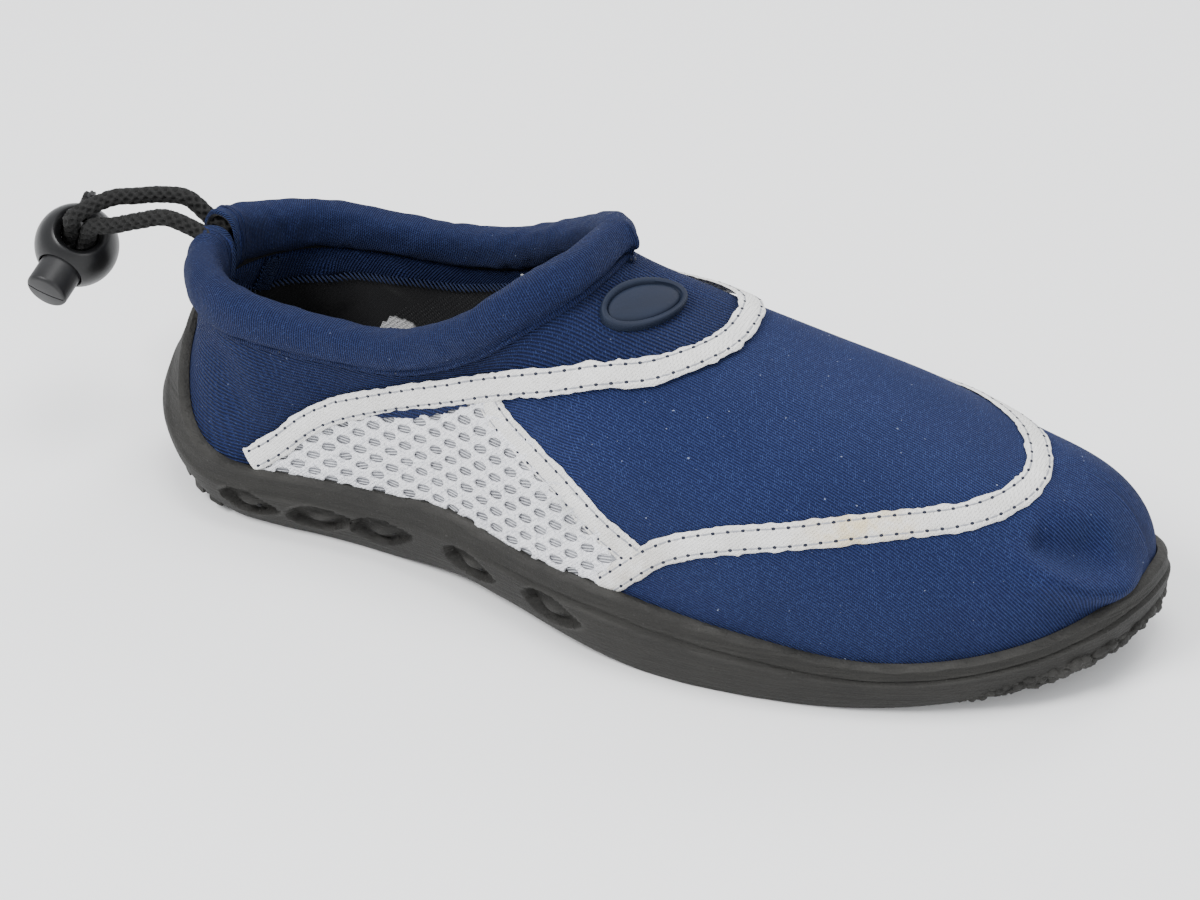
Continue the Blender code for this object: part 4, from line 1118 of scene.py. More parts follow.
# Which cloth the skin has there: 0 heel knit, 1 vamp knit, 2 the lining behind the mesh
def panelAt(number, row):
    if number < tapeChart["high"][0][0]:
        return 0
    top = chartRow(tapeChart["high"], number)
    if row > top and number < 23.1:
        return 0
    front = tapeChart["slant"]
    edge = 15.0
    for (n0, r0), (n1, r1) in zip(front, front[1:]):
        if r1 <= row <= r0:
            edge = mix(n1, n0, (row - r1) / (r0 - r1))
    if row < front[-1][1]:
        edge = front[-1][0]
    if number < edge and row > max(2.4, chartRow(tapeChart["front"], number)):
        return 2
    return 1


skinLook = dict(across=6, up=5)       # steps of the fine grid in each column and row


# Rib coordinates for one side's grid: up the wall at the heel, over the foot at the vamp
def ribCharts(side, keyed, wide, high):
    quarter, vamp = {}, {}
    for i in range(wide + 1):
        spots = [keyed[(i, k)].co.copy() for k in range(high + 1)]
        inward = inwardAt(side, min(max(rimWay(i / skinLook["across"]), 0.01), 0.99))
        endShare = abs(inward.x) ** 1.2                     # 1 where the wall looks along the shoe
        arc = 0.0
        for k in range(high + 1):
            if k:
                arc += (spots[k] - spots[k - 1]).length
            quarter[(i, k)] = (spots[k].x + side * spots[k].y * endShare, arc)
        u, v = spots[high].x, spots[high].y
        vamp[(i, high)] = (u, v)
        for k in range(high - 1, -1, -1):
            step = spots[k] - spots[k + 1]
            sideStep = math.sqrt(step.y ** 2 + step.z ** 2 * (1 - endShare))
            v += math.copysign(sideStep, step.y if abs(step.y) > abs(step.z) * 0.05 else side)
            u += step.x - step.z * endShare
            vamp[(i, k)] = (u, v)
    return quarter, vamp


# The upper's outer face on a fine grid, creased, with rib coordinates and panels
def makeSkin():
    bm = bmesh.new()
    layer = bm.loops.layers.uv.new("ribs")
    perColumn, perRow = skinLook["across"], skinLook["up"]
    wide, high = columns * perColumn, rows * perRow
    grids = {}
    for side in (lateral, medial):
        made = bmesh.ops.create_grid(bm, x_segments=wide, y_segments=high, size=0.5)["verts"]
        keyed = {(round((vert.co.x + 0.5) * wide), round((vert.co.y + 0.5) * high)): vert for vert in made}
        for (i, k), vert in keyed.items():
            vert.co = skinPoint(side, i / perColumn, k / perRow)
        grids[side] = keyed
    for side, keyed in grids.items():
        mine = {vert: key for key, vert in keyed.items()}
        faces = list({face for vert in mine for face in vert.link_faces})
        facingOut(bm, faces, lambda face: Vector((0, side, 0.2)))
        quarter, vamp = ribCharts(side, keyed, wide, high)
        for face in faces:
            keys = [mine[vert] for vert in face.verts]
            number = sum(i for i, k in keys) / len(keys) / perColumn
            row = sum(k for i, k in keys) / len(keys) / perRow
            face.material_index = panelAt(number, row)
            chart = vamp if face.material_index else quarter
            for loop in face.loops:
                loop[layer].uv = chart[mine[loop.vert]]
    bmesh.ops.remove_doubles(bm, verts=bm.verts, dist=2e-6)
    bm.normal_update()
    moves = [(vert, vert.normal * -creaseDepth(vert.co)) for vert in bm.verts]
    for vert, move in moves:
        vert.co += move
    bm.normal_update()
    tree = BVHTree.FromBMesh(bm)
    outside = [knits["knitHeel"], knits["knitVamp"], cloths["meshLining"]]
    inside = [cloths["blackLining"], cloths["blackLining"], cloths["panelLining"]]
    skin = linked("skin", bm, outside + inside)
    shell = thickened(skin, upper["wall"])
    shell.material_offset = shell.material_offset_rim = 3
    return skin, tree


skin, skinTree = makeSkin()
skinMesh = skin.data


# The nearest place on the skin, and its normal smoothed over the face
def onSkin(spot):
    at, _, index, _ = skinTree.find_nearest(spot)
    corners = [skinMesh.vertices[v] for v in skinMesh.polygons[index].vertices]
    total = Vector()
    for corner in corners:
        total += corner.normal / ((corner.co - at).length + 1e-5)
    return at, total.normalized()


# Tapes, laid on the skin along their middle lines

def chartLine(side, line, step):
    return smoothLine([skinPoint(side, number, row) for number, row in line], step)


# The middle of a strip at a point of its line, the way along it and the way across it
def stripAt(line, i):
    before, after = line[max(i - 2, 0)], line[min(i + 2, len(line) - 1)]
    at, normal = onSkin(line[i])
    along = (after - before).normalized()
    return at, along, normal.cross(along).normalized()


# A place beside a strip's middle, on the skin, lifted off it
def laid(at, across, offset, lift):
    spot, normal = onSkin(at + across * offset)
    return spot + normal * lift


# A cloth strip: rounded edges tucked in, a soft groove where it is sewn, edges that waver
def addStrip(bm, line, look, lift, groove=None, lanes=12):
    frames = [stripAt(line, i) for i in range(len(line))]

    def place(a, b):
        i = round(a * (len(line) - 1))
        at, _, across = frames[i]
        share = 2 * b - 1
        reach = math.copysign(abs(share) ** 0.85, share)
        ripple = noise.noise(Vector((i * 0.35, math.copysign(9.0, share), at.z * 50)))
        ripple += 0.6 * noise.noise(Vector((i * 1.1, math.copysign(4.0, share), 0)))
        offset = reach * (look["width"] / 2 + look["edgeWave"] * ripple)
        height = look["thick"] * (1 - abs(reach) ** 7) - 0.0002 * abs(reach) ** 20
        if groove:
            height -= look["thick"] * 0.42 * math.exp(-((abs(offset) - groove) / 0.00045) ** 2)
        height += 0.00006 * noise.noise(at * 900)
        return laid(at, across, offset, height + lift)

    faces = addGrid(bm, len(line) - 1, lanes, place)
    facingOut(bm, faces, lambda face: onSkin(face.calc_center_median())[1])
    return faces


# Copies of small shapes as one joined mesh; copies are (which shape, matrix) pairs
def scattered(name, shapes, copies, materials, sharp=None):
    parts = []
    for bm in shapes:
        bm.verts.index_update()
        parts.append(([vert.co.copy() for vert in bm.verts], [[v.index for v in f.verts] for f in bm.faces],
                      [face.material_index for face in bm.faces]))
        bm.free()
    points, faces, kinds = [], [], []
    for which, matrix in copies:
        verts, polygons, slots = parts[which]
        start = len(points)
        points.extend(matrix @ vert for vert in verts)
        faces.extend([start + v for v in polygon] for polygon in polygons)
        kinds.extend(slots)
    mesh = bpy.data.meshes.new(name)
    mesh.from_pydata(points, [], faces)
    mesh.polygons.foreach_set("material_index", kinds)
    return newPiece(name, mesh, materials, sharp)


# A slightly flat thread, with the number of its material
def stitchShape(length, radius, kind=0):
    bm = bmesh.new()
    size = Matrix.Diagonal((length / 2, radius, radius * 0.7, 1))
    turn = Matrix.Rotation(math.pi / 2, 4, "Y")
    bmesh.ops.create_uvsphere(bm, u_segments=6, v_segments=7, radius=1.0, matrix=size @ turn)
    for face in bm.faces:
        face.material_index = kind
    return bm


# A flat dark disc of painted shade where the needle pierces the tape
def needleShadeDisc(radius):
    bm = bmesh.new()
    size = Matrix.Diagonal((radius * 1.15, radius * 0.85, 0.00012, 1))
    bmesh.ops.create_uvsphere(bm, u_segments=8, v_segments=4, radius=1.0, matrix=size)
    for face in bm.faces:
        face.material_index = 1
    return bm


# Stitches (0) and dark discs of painted shade at the needle holes (1) beside a line, added to a list for scattered()
def sewnRow(line, offset, lift, found):
    fine = smoothLine(line[::4] + [line[-1]], tapes["pitch"] / 2)
    for i in range(1, len(fine) - 1):
        at, along, across = stripAt(fine, i)
        stray = offset + 0.00012 * noise.noise(at * 700)
        spot, up = onSkin(at + across * stray)
        onward = laid(at + along * 0.001, across, stray, 0) - spot
        kind = i % 2
        found.append((kind, placed(spot + up * (lift + 0.00008 * kind), up, onward)))


# One smooth line through several runs of chart points, with its kinks eased out
def tapeLine(*parts):
    spots = []
    for side, line in parts:
        spots += [skinPoint(side, number, row) for number, row in line]
    line = smoothLine(spots, tapes["step"])
    for _ in range(tapes["easing"]):
        line = [line[0]] + [(a + b * 2 + c) / 4 for a, b, c in zip(line, line[1:], line[2:])] + [line[-1]]
    return line


tapeLines = [
    tapeLine((lateral, tapeChart["slant"])),
    tapeLine((medial, tapeChart["slant"])),
    tapeLine((lateral, tapeChart["front"][:-1]), (medial, tapeChart["frontMedial"])),
    tapeLine((lateral, tapeChart["high"][:-1]), (medial, tapeChart["high"][-2::-1])),
]


def makeTapes():
    bm = bmesh.new()
    groove = tapes["width"] / 2 - tapes["seamInset"]
    found = []
    for line, lift in zip(tapeLines, tapes["lifts"]):
        addStrip(bm, line, tapes, lift, groove)
        for offset in (-groove, groove):
            sewnRow(line, offset, lift + tapes["thick"] * 0.62, found)
    strips = linked("tapes", bm, [cloths["whiteTape"]])
    # the stitches are white thread coloured grey as painted shade, the needle holes dark discs of painted shade
    sewn = scattered("tapeStitches", [stitchShape(0.0026, 0.00026), needleShadeDisc(0.00048)], found,
                     [cloths["whiteStitchShadedGrey"], cloths["darkThreadAndNeedleShade"]])
    for piece in (strips, sewn):
        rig.ride(piece, "shoe")
        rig.slot(piece, "white_tape")


# The frayed knit edge that shows under the high tape: length along the shoe, how far it shows
sliver = dict(
    width=0.0036, thick=0.0003, edgeWave=0.0009, lift=0.00105, step=0.0007, lanes=8,
    shows=[(-0.0625, -0.0006), (-0.0567, 0.0011), (-0.0453, 0.0021), (-0.0336, 0.0008), (-0.0270, -0.0006)],
)


def makeSliver():
    spots = []
    start, end = sliver["shows"][0][0], sliver["shows"][-1][0]
    for i, spot in enumerate(tapeLines[3]):
        if spot.y > 0 or not start < spot.x < end:
            continue
        at, _, across = stripAt(tapeLines[3], i)
        down = -across if across.z > 0 else across
        shown = readRow(sliver["shows"], 1, spot.x)
        spots.append(at + down * ((tapes["width"] - sliver["width"]) / 2 + shown))
    bm = bmesh.new()
    layer = bm.loops.layers.uv.verify()
    line = smoothLine(spots, sliver["step"])
    for face in addStrip(bm, line, sliver, sliver["lift"], lanes=sliver["lanes"]):
        for loop in face.loops:
            loop[layer].uv = (loop.vert.co.x, loop.vert.co.z)
    strip = linked("knitEdge", bm, [knits["knitHeel"]])
    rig.ride(strip, "shoe")
    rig.slot(strip, "stretch_knit")


makeTapes()
makeSliver()
print("tapes sewn")


# The open mesh at the waist: a slanted lattice of round-edged holes, laid on each side

net = dict(
    one=(0.0045, 0.0034), two=(0.0047, -0.0014), start=(-0.0355, 0.0135), cells=20, hole=(0.00232, 0.00124),
    holeTurn=13, thick=0.0008, lift=0.0007, base=0.016, rimReach=0.0038, tapeReach=0.0012, frontEnd=0.0130,
    threads=3, threadsApart=0.0008, threadLength=0.0042, threadRadius=0.00013,
)


# The six corners of the cell that belongs to one hole
def netCorners():
    one, two = Vector(net["one"]), Vector(net["two"])
    near = [two, one, one - two, -two, -one, two - one]
    corners = []
    for a, b in zip(near, near[1:] + near[:1]):
        d = 2 * (a.x * b.y - a.y * b.x)
        corners.append(Vector(((b.y * a.length_squared - a.y * b.length_squared) / d,
                               (a.x * b.length_squared - b.x * a.length_squared) / d)))
    return corners


# For each millimetre of length, the wall's points and their arc height above net's base level
def wallProfile(side):
    found = {}
    for i in range(-100, 31):
        x, run, last, line = i / 1000, 0.0, None, []
        for k in range(90):
            z = net["base"] + k * 0.0005
            hit = skinTree.ray_cast(Vector((x, side * 0.09, z)), Vector((0, -side, 0)))[0]
            if hit is None:
                break
            run += (hit - last).length if last else 0.0
            last = hit
            line.append((run, hit))
        found[i] = line
    return found


# The wall's point at a length along the shoe and an arc height
def upWall(profile, x, height):
    i = math.floor(x * 1000)
    if i not in profile or i + 1 not in profile:
        return None
    ends = []
    for line in (profile[i], profile[i + 1]):
        spot = None
        for (low, a), (high, b) in zip(line, line[1:]):
            if low <= height <= high and high > low:
                spot = a.lerp(b, (height - low) / (high - low))
        if spot is None:
            return None
        ends.append(spot)
    return ends[0].lerp(ends[1], x * 1000 - i)


def panelEdges(side):
    lines = {}
    for name, key in (("top", "high"), ("slant", "slant")):
        lines[name] = [Vector((p.x, p.z)) for p in chartLine(side, tapeChart[key], 0.003)]
    rim = [skinPoint(side, n / 2, 2.7) for n in range(12, 48)]
    lines["rim"] = [Vector((p.x, p.z)) for p in rim]
    return lines


def heightOn(line, x):
    for a, b in zip(line, line[1:]):
        if min(a.x, b.x) <= x <= max(a.x, b.x) and abs(b.x - a.x) > 1e-6:
            return mix(a.y, b.y, (x - a.x) / (b.x - a.x))
    return None


# Whether a cell's middle lies between the rim and the tapes
def inPanel(lines, x, z):
    top, rim, slant = (heightOn(lines[name], x) for name in ("top", "rim", "slant"))
    if top is None or rim is None or x > net["frontEnd"]:
        return False
    if slant is None and x > lines["slant"][-1].x:
        slant = lines["slant"][-1].y
    if slant is not None and z > slant + net["tapeReach"]:
        return False
    return rim - net["rimReach"] <= z <= top + 0.0005


# One flat cell of the mesh: six sides outside, a round-edged hole inside
def addCell(bm, centre, corners, x, z, shift):
    turn = Matrix.Rotation(math.radians(net["holeTurn"]), 2)
    ends = []
    for a, b in zip(corners, corners[1:] + corners[:1]):
        ends += [centre + a, centre + (a + b) / 2]
    size = 1 + 0.12 * noise.noise(Vector((x * 200, z * 200, 9)))
    inner = []
    for end in ends:
        way = turn.transposed() @ (end - centre).normalized()
        radius = 1 / math.sqrt((way.x / net["hole"][0]) ** 2 + (way.y / net["hole"][1]) ** 2)
        inner.append(centre + shift + (turn @ way) * radius * size)
    rings = []
    for share in (0.0, 0.5, 1.0):
        spots = [p.lerp(q, share) for p, q in zip(ends, inner)]
        rings.append([bm.verts.new((spot.x, 0, spot.y)) for spot in spots])
    bridge(bm, rings[0], rings[1])
    bridge(bm, rings[1], rings[2])


# The threads that show behind one hole
def addThreads(found, middle, shake):
    spot, normal = onSkin(middle)
    slope = 0.1 + 0.5 * shake.x
    way = Vector((math.cos(slope), 0, math.sin(slope)))
    way = (way - normal * way.dot(normal)).normalized()
    across = normal.cross(way)
    for n in range(net["threads"]):
        off = across * net["threadsApart"] * (shake.y * 0.6 + n - 1)
        found.append((0, placed(spot + off + normal * 0.00035, normal, way)))


def makeNet(side):
    lines, profile, corners = panelEdges(side), wallProfile(side), netCorners()
    one, two, start = Vector(net["one"]), Vector(net["two"]), Vector(net["start"])
    reach = range(-net["cells"], net["cells"] + 1)
    bm = bmesh.new()
    found = []
    for centre in [start + one * i + two * k for i in reach for k in reach]:
        middle = upWall(profile, centre.x, centre.y)
        if middle is None or not inPanel(lines, middle.x, middle.z):
            continue
        x, z = middle.x, middle.z
        shake = Vector([noise.noise(Vector((x * 300, z * 300, seed))) for seed in (1, 5)])
        addCell(bm, centre, corners, x, z, shake * 0.00030)
        addThreads(found, middle, shake)
    bmesh.ops.remove_doubles(bm, verts=bm.verts, dist=0.00008)
    lost = []
    for vert in bm.verts:                                   # each flat vertex is laid on the wall
        hit = upWall(profile, vert.co.x, vert.co.z)
        if hit is None or vert.co.x > net["frontEnd"]:
            lost.append(vert)
            continue
        spot, normal = onSkin(hit)
        vert.co = spot + normal * (net["lift"] + 0.00025 * noise.noise(spot * 700))
    bmesh.ops.delete(bm, geom=lost, context="VERTS")
    bmesh.ops.recalc_face_normals(bm, faces=bm.faces)
    facingOut(bm, list(bm.faces), lambda face: Vector((0, side, 0)))
    panel = linked("net", bm, [cloths["whiteMesh"]])
    thickened(panel, net["thick"], -0.2)
    softened(panel)
    finished(panel)
    thread = stitchShape(net["threadLength"], net["threadRadius"])
    threads = scattered("netThreads", [thread], found, [cloths["netThread"]])
    for piece in (panel, threads):
        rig.ride(piece, "shoe")
        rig.slot(piece, "white_mesh")


for side in (lateral, medial):
    makeNet(side)
print("mesh panels made")


# The padded collar, with its sewn line, creases, end hems and the band inside

collar = dict(
    along=4, round=44, girth=0.038, seamAngle=308, seamLift=-0.0009, wrinkle=0.00035, endDrop=0.0026,
    endRise=0.0008, endBack=0.0010, endReach=0.018, hemWide=0.0040, hemThick=0.0005, hemFlare=1.10,
    foldDepth=0.0060, foldRings=4, weltAngle=292, weltRadius=0.0011, weltStep=0.0016, stitchAngle=300,
    stitchPitch=0.0026,
)


# The collar's frame at a place along its keys, on smooth curves between them
def collarAt(u):
    last = len(collarFrames) - 1
    u = min(max(u, 0.0), last)
    i = min(int(u), last - 1)
    t = u - i
    near = [collarFrames[min(max(i + k, 0), last)] for k in (-1, 0, 1, 2)]
    point, up, out, height = (curved(*parts, t) for parts in zip(*near))
    return point, up.normalized(), out.normalized(), height


def rollPoint(u, angle, scale=1.0):
    point, up, out, height = collarAt(u)
    across, rise = math.cos(angle), math.sin(angle)
    across = math.copysign(abs(across) ** 0.8, across) * upper["collarThickness"] / 2
    rise = math.copysign(abs(rise) ** 0.8, rise) * height / 2
    return point + (out * across + up * rise) * scale


# How far the roll stands out of its plain section: wrinkles, the sewn line and the end hems
def rollRelief(u, angle, fromEnd):
    pucker = noise.noise(Vector((u * 2.3, math.cos(angle) * 1.5, math.sin(angle) * 1.5)))
    fine = noise.noise(Vector((u * 7.0, math.cos(angle) * 2.0, 4.0)))
    turned = (angle - math.radians(collar["seamAngle"]) + math.pi) % (2 * math.pi) - math.pi
    seam = math.exp(-(turned / 0.17) ** 2)
    hem = collar["hemThick"] * ease((collar["hemWide"] - fromEnd) / 0.0007)
    hem -= 0.0005 * math.exp(-((fromEnd - collar["hemWide"]) / 0.0005) ** 2)
    return hem + collar["wrinkle"] * (1.6 * pucker + 0.5 * fine) + collar["seamLift"] * seam


# The roll's rings: place on the frames, size of the section, shift into the roll; folded in at each end
def rollSections(last):
    per = collar["along"]
    steps = last * per
    body = []
    for i in range(steps + 1):
        finer = 5 if i < per or steps - per <= i < steps else 1
        body += [((i + k / 5) / per, 1.0, 0.0) for k in range(finer)]
    deep = collar["foldDepth"]
    end = [(1.02, -0.0009), (collar["hemFlare"], -0.0018), (1.06, -0.0026), (0.92, -0.0027), (0.82, -0.0018),
           (0.74, 0.0016), (0.68, deep), (0.35, deep + 0.001)]
    return [(0.0, *part) for part in end[::-1]] + body + [(float(last), *part) for part in end]


# A closed tube with a folded hem at each end; the sections turn once round it
def makeCollar():
    last = len(collarFrames) - 1
    around = collar["round"]
    mouths = cordMouths()
    room = cords["diameter"] / 2 + 0.0005
    bm = bmesh.new()
    layer = bm.loops.layers.uv.new("ribs")
    rings = []
    for u, scale, shift in rollSections(last):
        side = medial if u < last / 2 else lateral
        centre = collarAt(u)[0]
        inward = (collarAt(u + (0.5 if side == medial else -0.5))[0] - centre).normalized()
        fromEnd = (centre - collarFrames[0 if side == medial else -1][0]).length
        lift = collar["endRise"] if side == medial else -collar["endDrop"]
        sag = Vector((-collar["endBack"], 0, lift)) * ease(1 - fromEnd / collar["endReach"])
        deep, mouth, leaving = mouths[side]
        ring = []
        for k in range(around):
            angle = 2 * math.pi * k / around
            spot = rollPoint(u, angle, scale) + inward * shift
            if (scale, shift) == (1.0, 0.0):
                spot += (spot - centre).normalized() * rollRelief(u, angle, fromEnd)
            spot += sag
            away = (spot - mouth) - leaving * (spot - mouth).dot(leaving)
            short = room - away.length                      # the strand needs this much more room
            if short > 0 and (spot - deep).dot(leaving) > 0 and u in (0.0, float(last)):
                spot += away.normalized() * short if away.length > 1e-6 else inward * room
            ring.append(bm.verts.new(spot))
        rings.append(ring)
    ringArcs = [0.0]
    for low, high in zip(rings, rings[1:]):
        ringArcs.append(ringArcs[-1] + (high[0].co - low[0].co).length)
    for n, (low, high) in enumerate(zip(rings, rings[1:])):
        fromMouth = min(n, len(rings) - 2 - n)
        kind = 0 if fromMouth >= 2 * collar["foldRings"] else (2 if fromMouth >= collar["foldRings"] else 1)
        for k in range(around):
            j = (k + 1) % around
            face = bm.faces.new((low[k], low[j], high[j], high[k]))
            face.material_index = kind
            for loop, (m, q) in zip(face.loops, ((n, k), (n, k + 1), (n + 1, k + 1), (n + 1, k))):
                u, v = ringArcs[m], q / around * collar["girth"]
                loop[layer].uv = (u + v, u - v) if kind else (v, u)
    bm.faces.new(rings[0][::-1]).material_index = 1
    bm.faces.new(rings[-1]).material_index = 1
    bmesh.ops.recalc_face_normals(bm, faces=bm.faces)
    piece = linked("collarRoll", bm, [knits["knitCollar"], cloths["blackLining"], knits["knitHem"]])
    softened(piece)
    finished(piece)
    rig.ride(piece, "shoe")
    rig.replaces(piece, "collar")
    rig.slot(piece, "collar_knit")


# The soft fold that fills the crease between collar and upper
def makeWelt():
    line = []
    for i in range((len(collarFrames) - 1) * 4 + 1):
        spot = rollPoint(i / 4, math.radians(collar["weltAngle"]), 0.98)
        at, normal = onSkin(spot)
        line.append(spot.lerp(at, 0.5) - normal * 0.0004)
    bm = bmesh.new()
    layer = bm.loops.layers.uv.new("ribs")

    def soft(run, angle):
        return collar["weltRadius"] * (1 + 0.18 * noise.noise(Vector((run * 300, math.cos(angle), 2))))

    rings = tubeRings(bm, smoothLine(line, collar["weltStep"]), soft, 10)
    along = {vert: n * collar["weltStep"] for n, ring in enumerate(rings) for vert in ring}
    for face in bm.faces:
        for loop in face.loops:
            loop[layer].uv = (loop.vert.co.z, along[loop.vert])
    welt = linked("collarWelt", bm, [knits["knitCollar"]])
    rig.ride(welt, "shoe")


# White and dark stitches in the crease where the collar meets the upper
def makeCollarSewing():
    found = []
    ends = range(6, (len(collarFrames) - 1) * 10 - 5)
    line = [rollPoint(u / 10, math.radians(collar["stitchAngle"])) for u in ends]
    line = smoothLine(line[::5], collar["stitchPitch"] / 2)
    for i in range(1, len(line) - 1):
        way = (line[i + 1] - line[i - 1]).normalized()
        spot, normal = onSkin(line[i])
        lift = 0.0002 if i % 2 else 0.0001
        kind = 0 if noise.noise(line[i] * 190) > 0.42 else 1
        found.append((kind, placed(spot.lerp(line[i], 0.35) + normal * lift, normal, way)))
    sewn = scattered("collarStitches", [stitchShape(0.0016, 0.00028), stitchShape(0.0023, 0.00055, 1)], found,
                     [cloths["whiteThread"], cloths["darkThreadAndNeedleShade"]])
    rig.ride(sewn, "shoe")


band = dict(
    drop=0.0095, frontShare=0.65, thick=0.0009, across=5, rowsDown=6, edgePitch=0.0013, crownPitch=0.0030,
)


# One side of the band's sheet; gives the line of its lower edge
def bandSheet(bm, layer, side):
    wide, down = behind * band["across"], band["rowsDown"]
    edge, corners = [], {}
    arc, before = 0.0, None
    for i in range(wide + 1):
        number = i / band["across"]
        top = skinPoint(side, number, rows)
        rowHeight = (top - skinPoint(side, number, rows - 1)).length
        reach = band["drop"] * mix(1.0, band["frontShare"], ease((number - 14) / 6))
        reach *= 1 + 0.05 * noise.noise(Vector((i * 0.4, side, 0)))
        arc += (top - before).length if before else 0.0
        before = top
        for k in range(down + 1):
            row = max(rows - reach / rowHeight * k / down, 4.0)
            spot, normal = onSkin(skinPoint(side, min(number, behind - 0.001), row))
            lift = upper["wall"] + 0.0003 + band["thick"] * (0.6 if 0 < k < down else 0.1)
            corners[(i, k)] = (bm.verts.new(spot - normal * lift), (reach * k / down, arc))
        edge.append(spot - normal * (lift + 0.0006))
    faces = []
    for i in range(wide):
        for k in range(down):
            square = [corners[key] for key in ((i, k), (i + 1, k), (i + 1, k + 1), (i, k + 1))]
            face = bm.faces.new([vert for vert, uv in square])
            for loop, (vert, uv) in zip(face.loops, square):
                loop[layer].uv = uv
            faces.append(face)
    facingOut(bm, faces, lambda face: -onSkin(face.calc_center_median())[1])
    return edge


# The ribbed band sewn inside under the collar, its overlocked lower edge and the flecks above it
def makeBand():
    bm = bmesh.new()
    layer = bm.loops.layers.uv.new("ribs")
    found = []
    for side in (lateral, medial):
        line = smoothLine(bandSheet(bm, layer, side)[::4], band["edgePitch"])
        for before, at, after in zip(line, line[1:], line[2:]):
            way = (after - before).normalized()
            normal = -onSkin(at)[1]
            found.append((0, placed(at, normal, way + way.cross(normal) * 1.6)))
        tops = [skinPoint(side, number, rows) for number in range(1, behind)]
        crown = smoothLine([top - onSkin(top)[1] * 0.0042 - Vector((0, 0, 0.0006)) for top in tops],
                           band["crownPitch"])
        for before, at, after in zip(crown, crown[1:], crown[2:]):
            if noise.noise(at * 240) > 0.36:
                found.append((1, placed(at, -onSkin(at)[1], after - before)))
    sheet = linked("innerBand", bm, [knits["knitHeel"]])
    thickened(sheet, 0.0003)
    finished(sheet)
    sewn = scattered("bandStitches", [stitchShape(0.0032, 0.00030), stitchShape(0.0013, 0.00030, 1)], found,
                     [cloths["navyThread"], cloths["whiteThread"]])
    for piece in (sheet, sewn):
        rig.ride(piece, "shoe")


heelTape = dict(
    width=0.0085, column=2.6, lowRow=5.4, reach=0.036, lanes=12, steps=60, thick=0.0007, lift=0.0022,
    ridgeHigh=0.00018, ridgePitch=0.0019,
)


# The herringbone tape over the back seam, down the inside of the heel
def makeHeelTape():
    wide, reach, steps = heelTape["width"], heelTape["reach"], heelTape["steps"]
    bm = bmesh.new()

    def place(a, b):
        offset = (b - 0.5) * wide * (1 + 0.08 * math.sin(a * steps * 0.9))
        spot = skinPoint(medial, heelTape["column"], mix(rows, heelTape["lowRow"], a))
        at, normal = onSkin(spot + Vector((-0.35, 0.94, 0)) * -offset)
        ridge = math.cos(2 * math.pi * (a * reach / heelTape["ridgePitch"] + abs(b - 0.5) * 3.2))
        return at - normal * (upper["wall"] + heelTape["lift"] + heelTape["ridgeHigh"] * ridge)

    def chevron(a, b):
        return a * reach - abs(b - 0.5) * wide, a * reach + abs(b - 0.5) * wide

    faces = addGrid(bm, steps, heelTape["lanes"], place, chevron)
    facingOut(bm, faces, lambda face: Vector((1, 0, 0.2)))
    tape = linked("heelTape", bm, [knits["herringbone"]])
    thickened(tape, heelTape["thick"])
    finished(tape, 50)
    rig.ride(tape, "shoe")


makeCollar()
makeWelt()
makeCollarSewing()
makeBand()
makeHeelTape()
print("collar made")


# The rubber sole: cup, lip, groove, hollows, tread and toe nubs

rubber = dict(
    columns=300, wallLevels=34, grooveAt=0.70, grooveDeep=0.0010, grooveWide=0.026, hollowHigh=0.0084,
    hollowDeep=0.0028, domeHigh=0.0020, scallop=0.0007, beadHigh=0.00025,
)
# Shares of the side's thickness up the wall
wallRows = [
    (0.00, 0.86), (0.05, 0.93), (0.16, 1.00), (0.40, 1.00), (0.60, 0.97), (0.69, 0.93), (0.74, 0.78),
    (0.86, 0.66), (0.95, 0.58), (1.00, 0.36),
]
# Hollows: along, height and length as shares of the rim's height, slant in degrees
hollows = [
    (0.146, 0.45, 0.66, 0), (0.222, 0.45, 0.78, 18), (0.288, 0.50, 0.78, 18), (0.389, 0.40, 0.66, 0),
    (0.488, 0.38, 0.72, 0),
]


def wayAtX(side, x):
    return halved(0.0, 1.0, lambda way: edgeAt(side, way).x < x)


def spineAt(way):
    along = crownAlong(way)
    y = (outlineY(lateral, along) + outlineY(medial, along)) / 2 - middleY
    return Vector(((along - 0.5) * sole["length"], y))


# Places once round the sole: the lateral side to the toe, then the medial side back
def waysRound(count):
    out = [(lateral, i / count) for i in range(count + 1)]
    return out + [(medial, i / count) for i in range(count - 1, 0, -1)]


# Each hollow's side, centre, ways along, up and into the wall, and half sizes
def hollowFrames():
    found = []
    for side in (lateral, medial):
        for along, height, length, slant in hollows:
            way = wayAtX(side, (along - 0.5) * sole["length"])
            inward = inwardAt(side, way).to_3d()
            z = treadZ(edgeAt(side, way).x) + height * sole["rimHeight"]
            centre = lastAt(side, way, z) - inward * (sole["sideThickness"] + gap)
            forward = inward.cross(Vector((0, 0, side)))
            forward = Matrix.Rotation(math.radians(slant) * side, 3, inward) @ forward
            if forward.x < 0:
                forward.negate()
            rise = inward.cross(forward).normalized()
            if rise.z < 0:
                rise.negate()
            half = length * sole["rimHeight"] * 0.56
            found.append((side, centre, forward, rise, inward, half, rubber["hollowHigh"] / 2))
    return found


hollowList = hollowFrames()


# How a spot on the wall moves in at a hollow: its pointed rim, its floor and the dome on it
def hollowDepth(side, spot):
    for owner, centre, forward, rise, inward, long, high in hollowList:
        if owner != side or (spot - centre).length > long * 1.5:
            continue
        a, b = (spot - centre).dot(forward) / long, (spot - centre).dot(rise) / high
        tail = max(a, 0.0) * 0.45
        edge = math.hypot(a, (b + 0.22 * a) / (1 - tail))
        if edge > 1.15:
            continue
        deep = ease((1.10 - edge) / (0.12 if b > -0.2 else 0.24))
        dome = math.hypot((a + 0.10) / 0.70, (b + 0.16) / 0.74)
        swell = ease(1.05 - dome) * rubber["domeHigh"]
        return inward * (rubber["hollowDeep"] * deep - swell)
    return Vector()


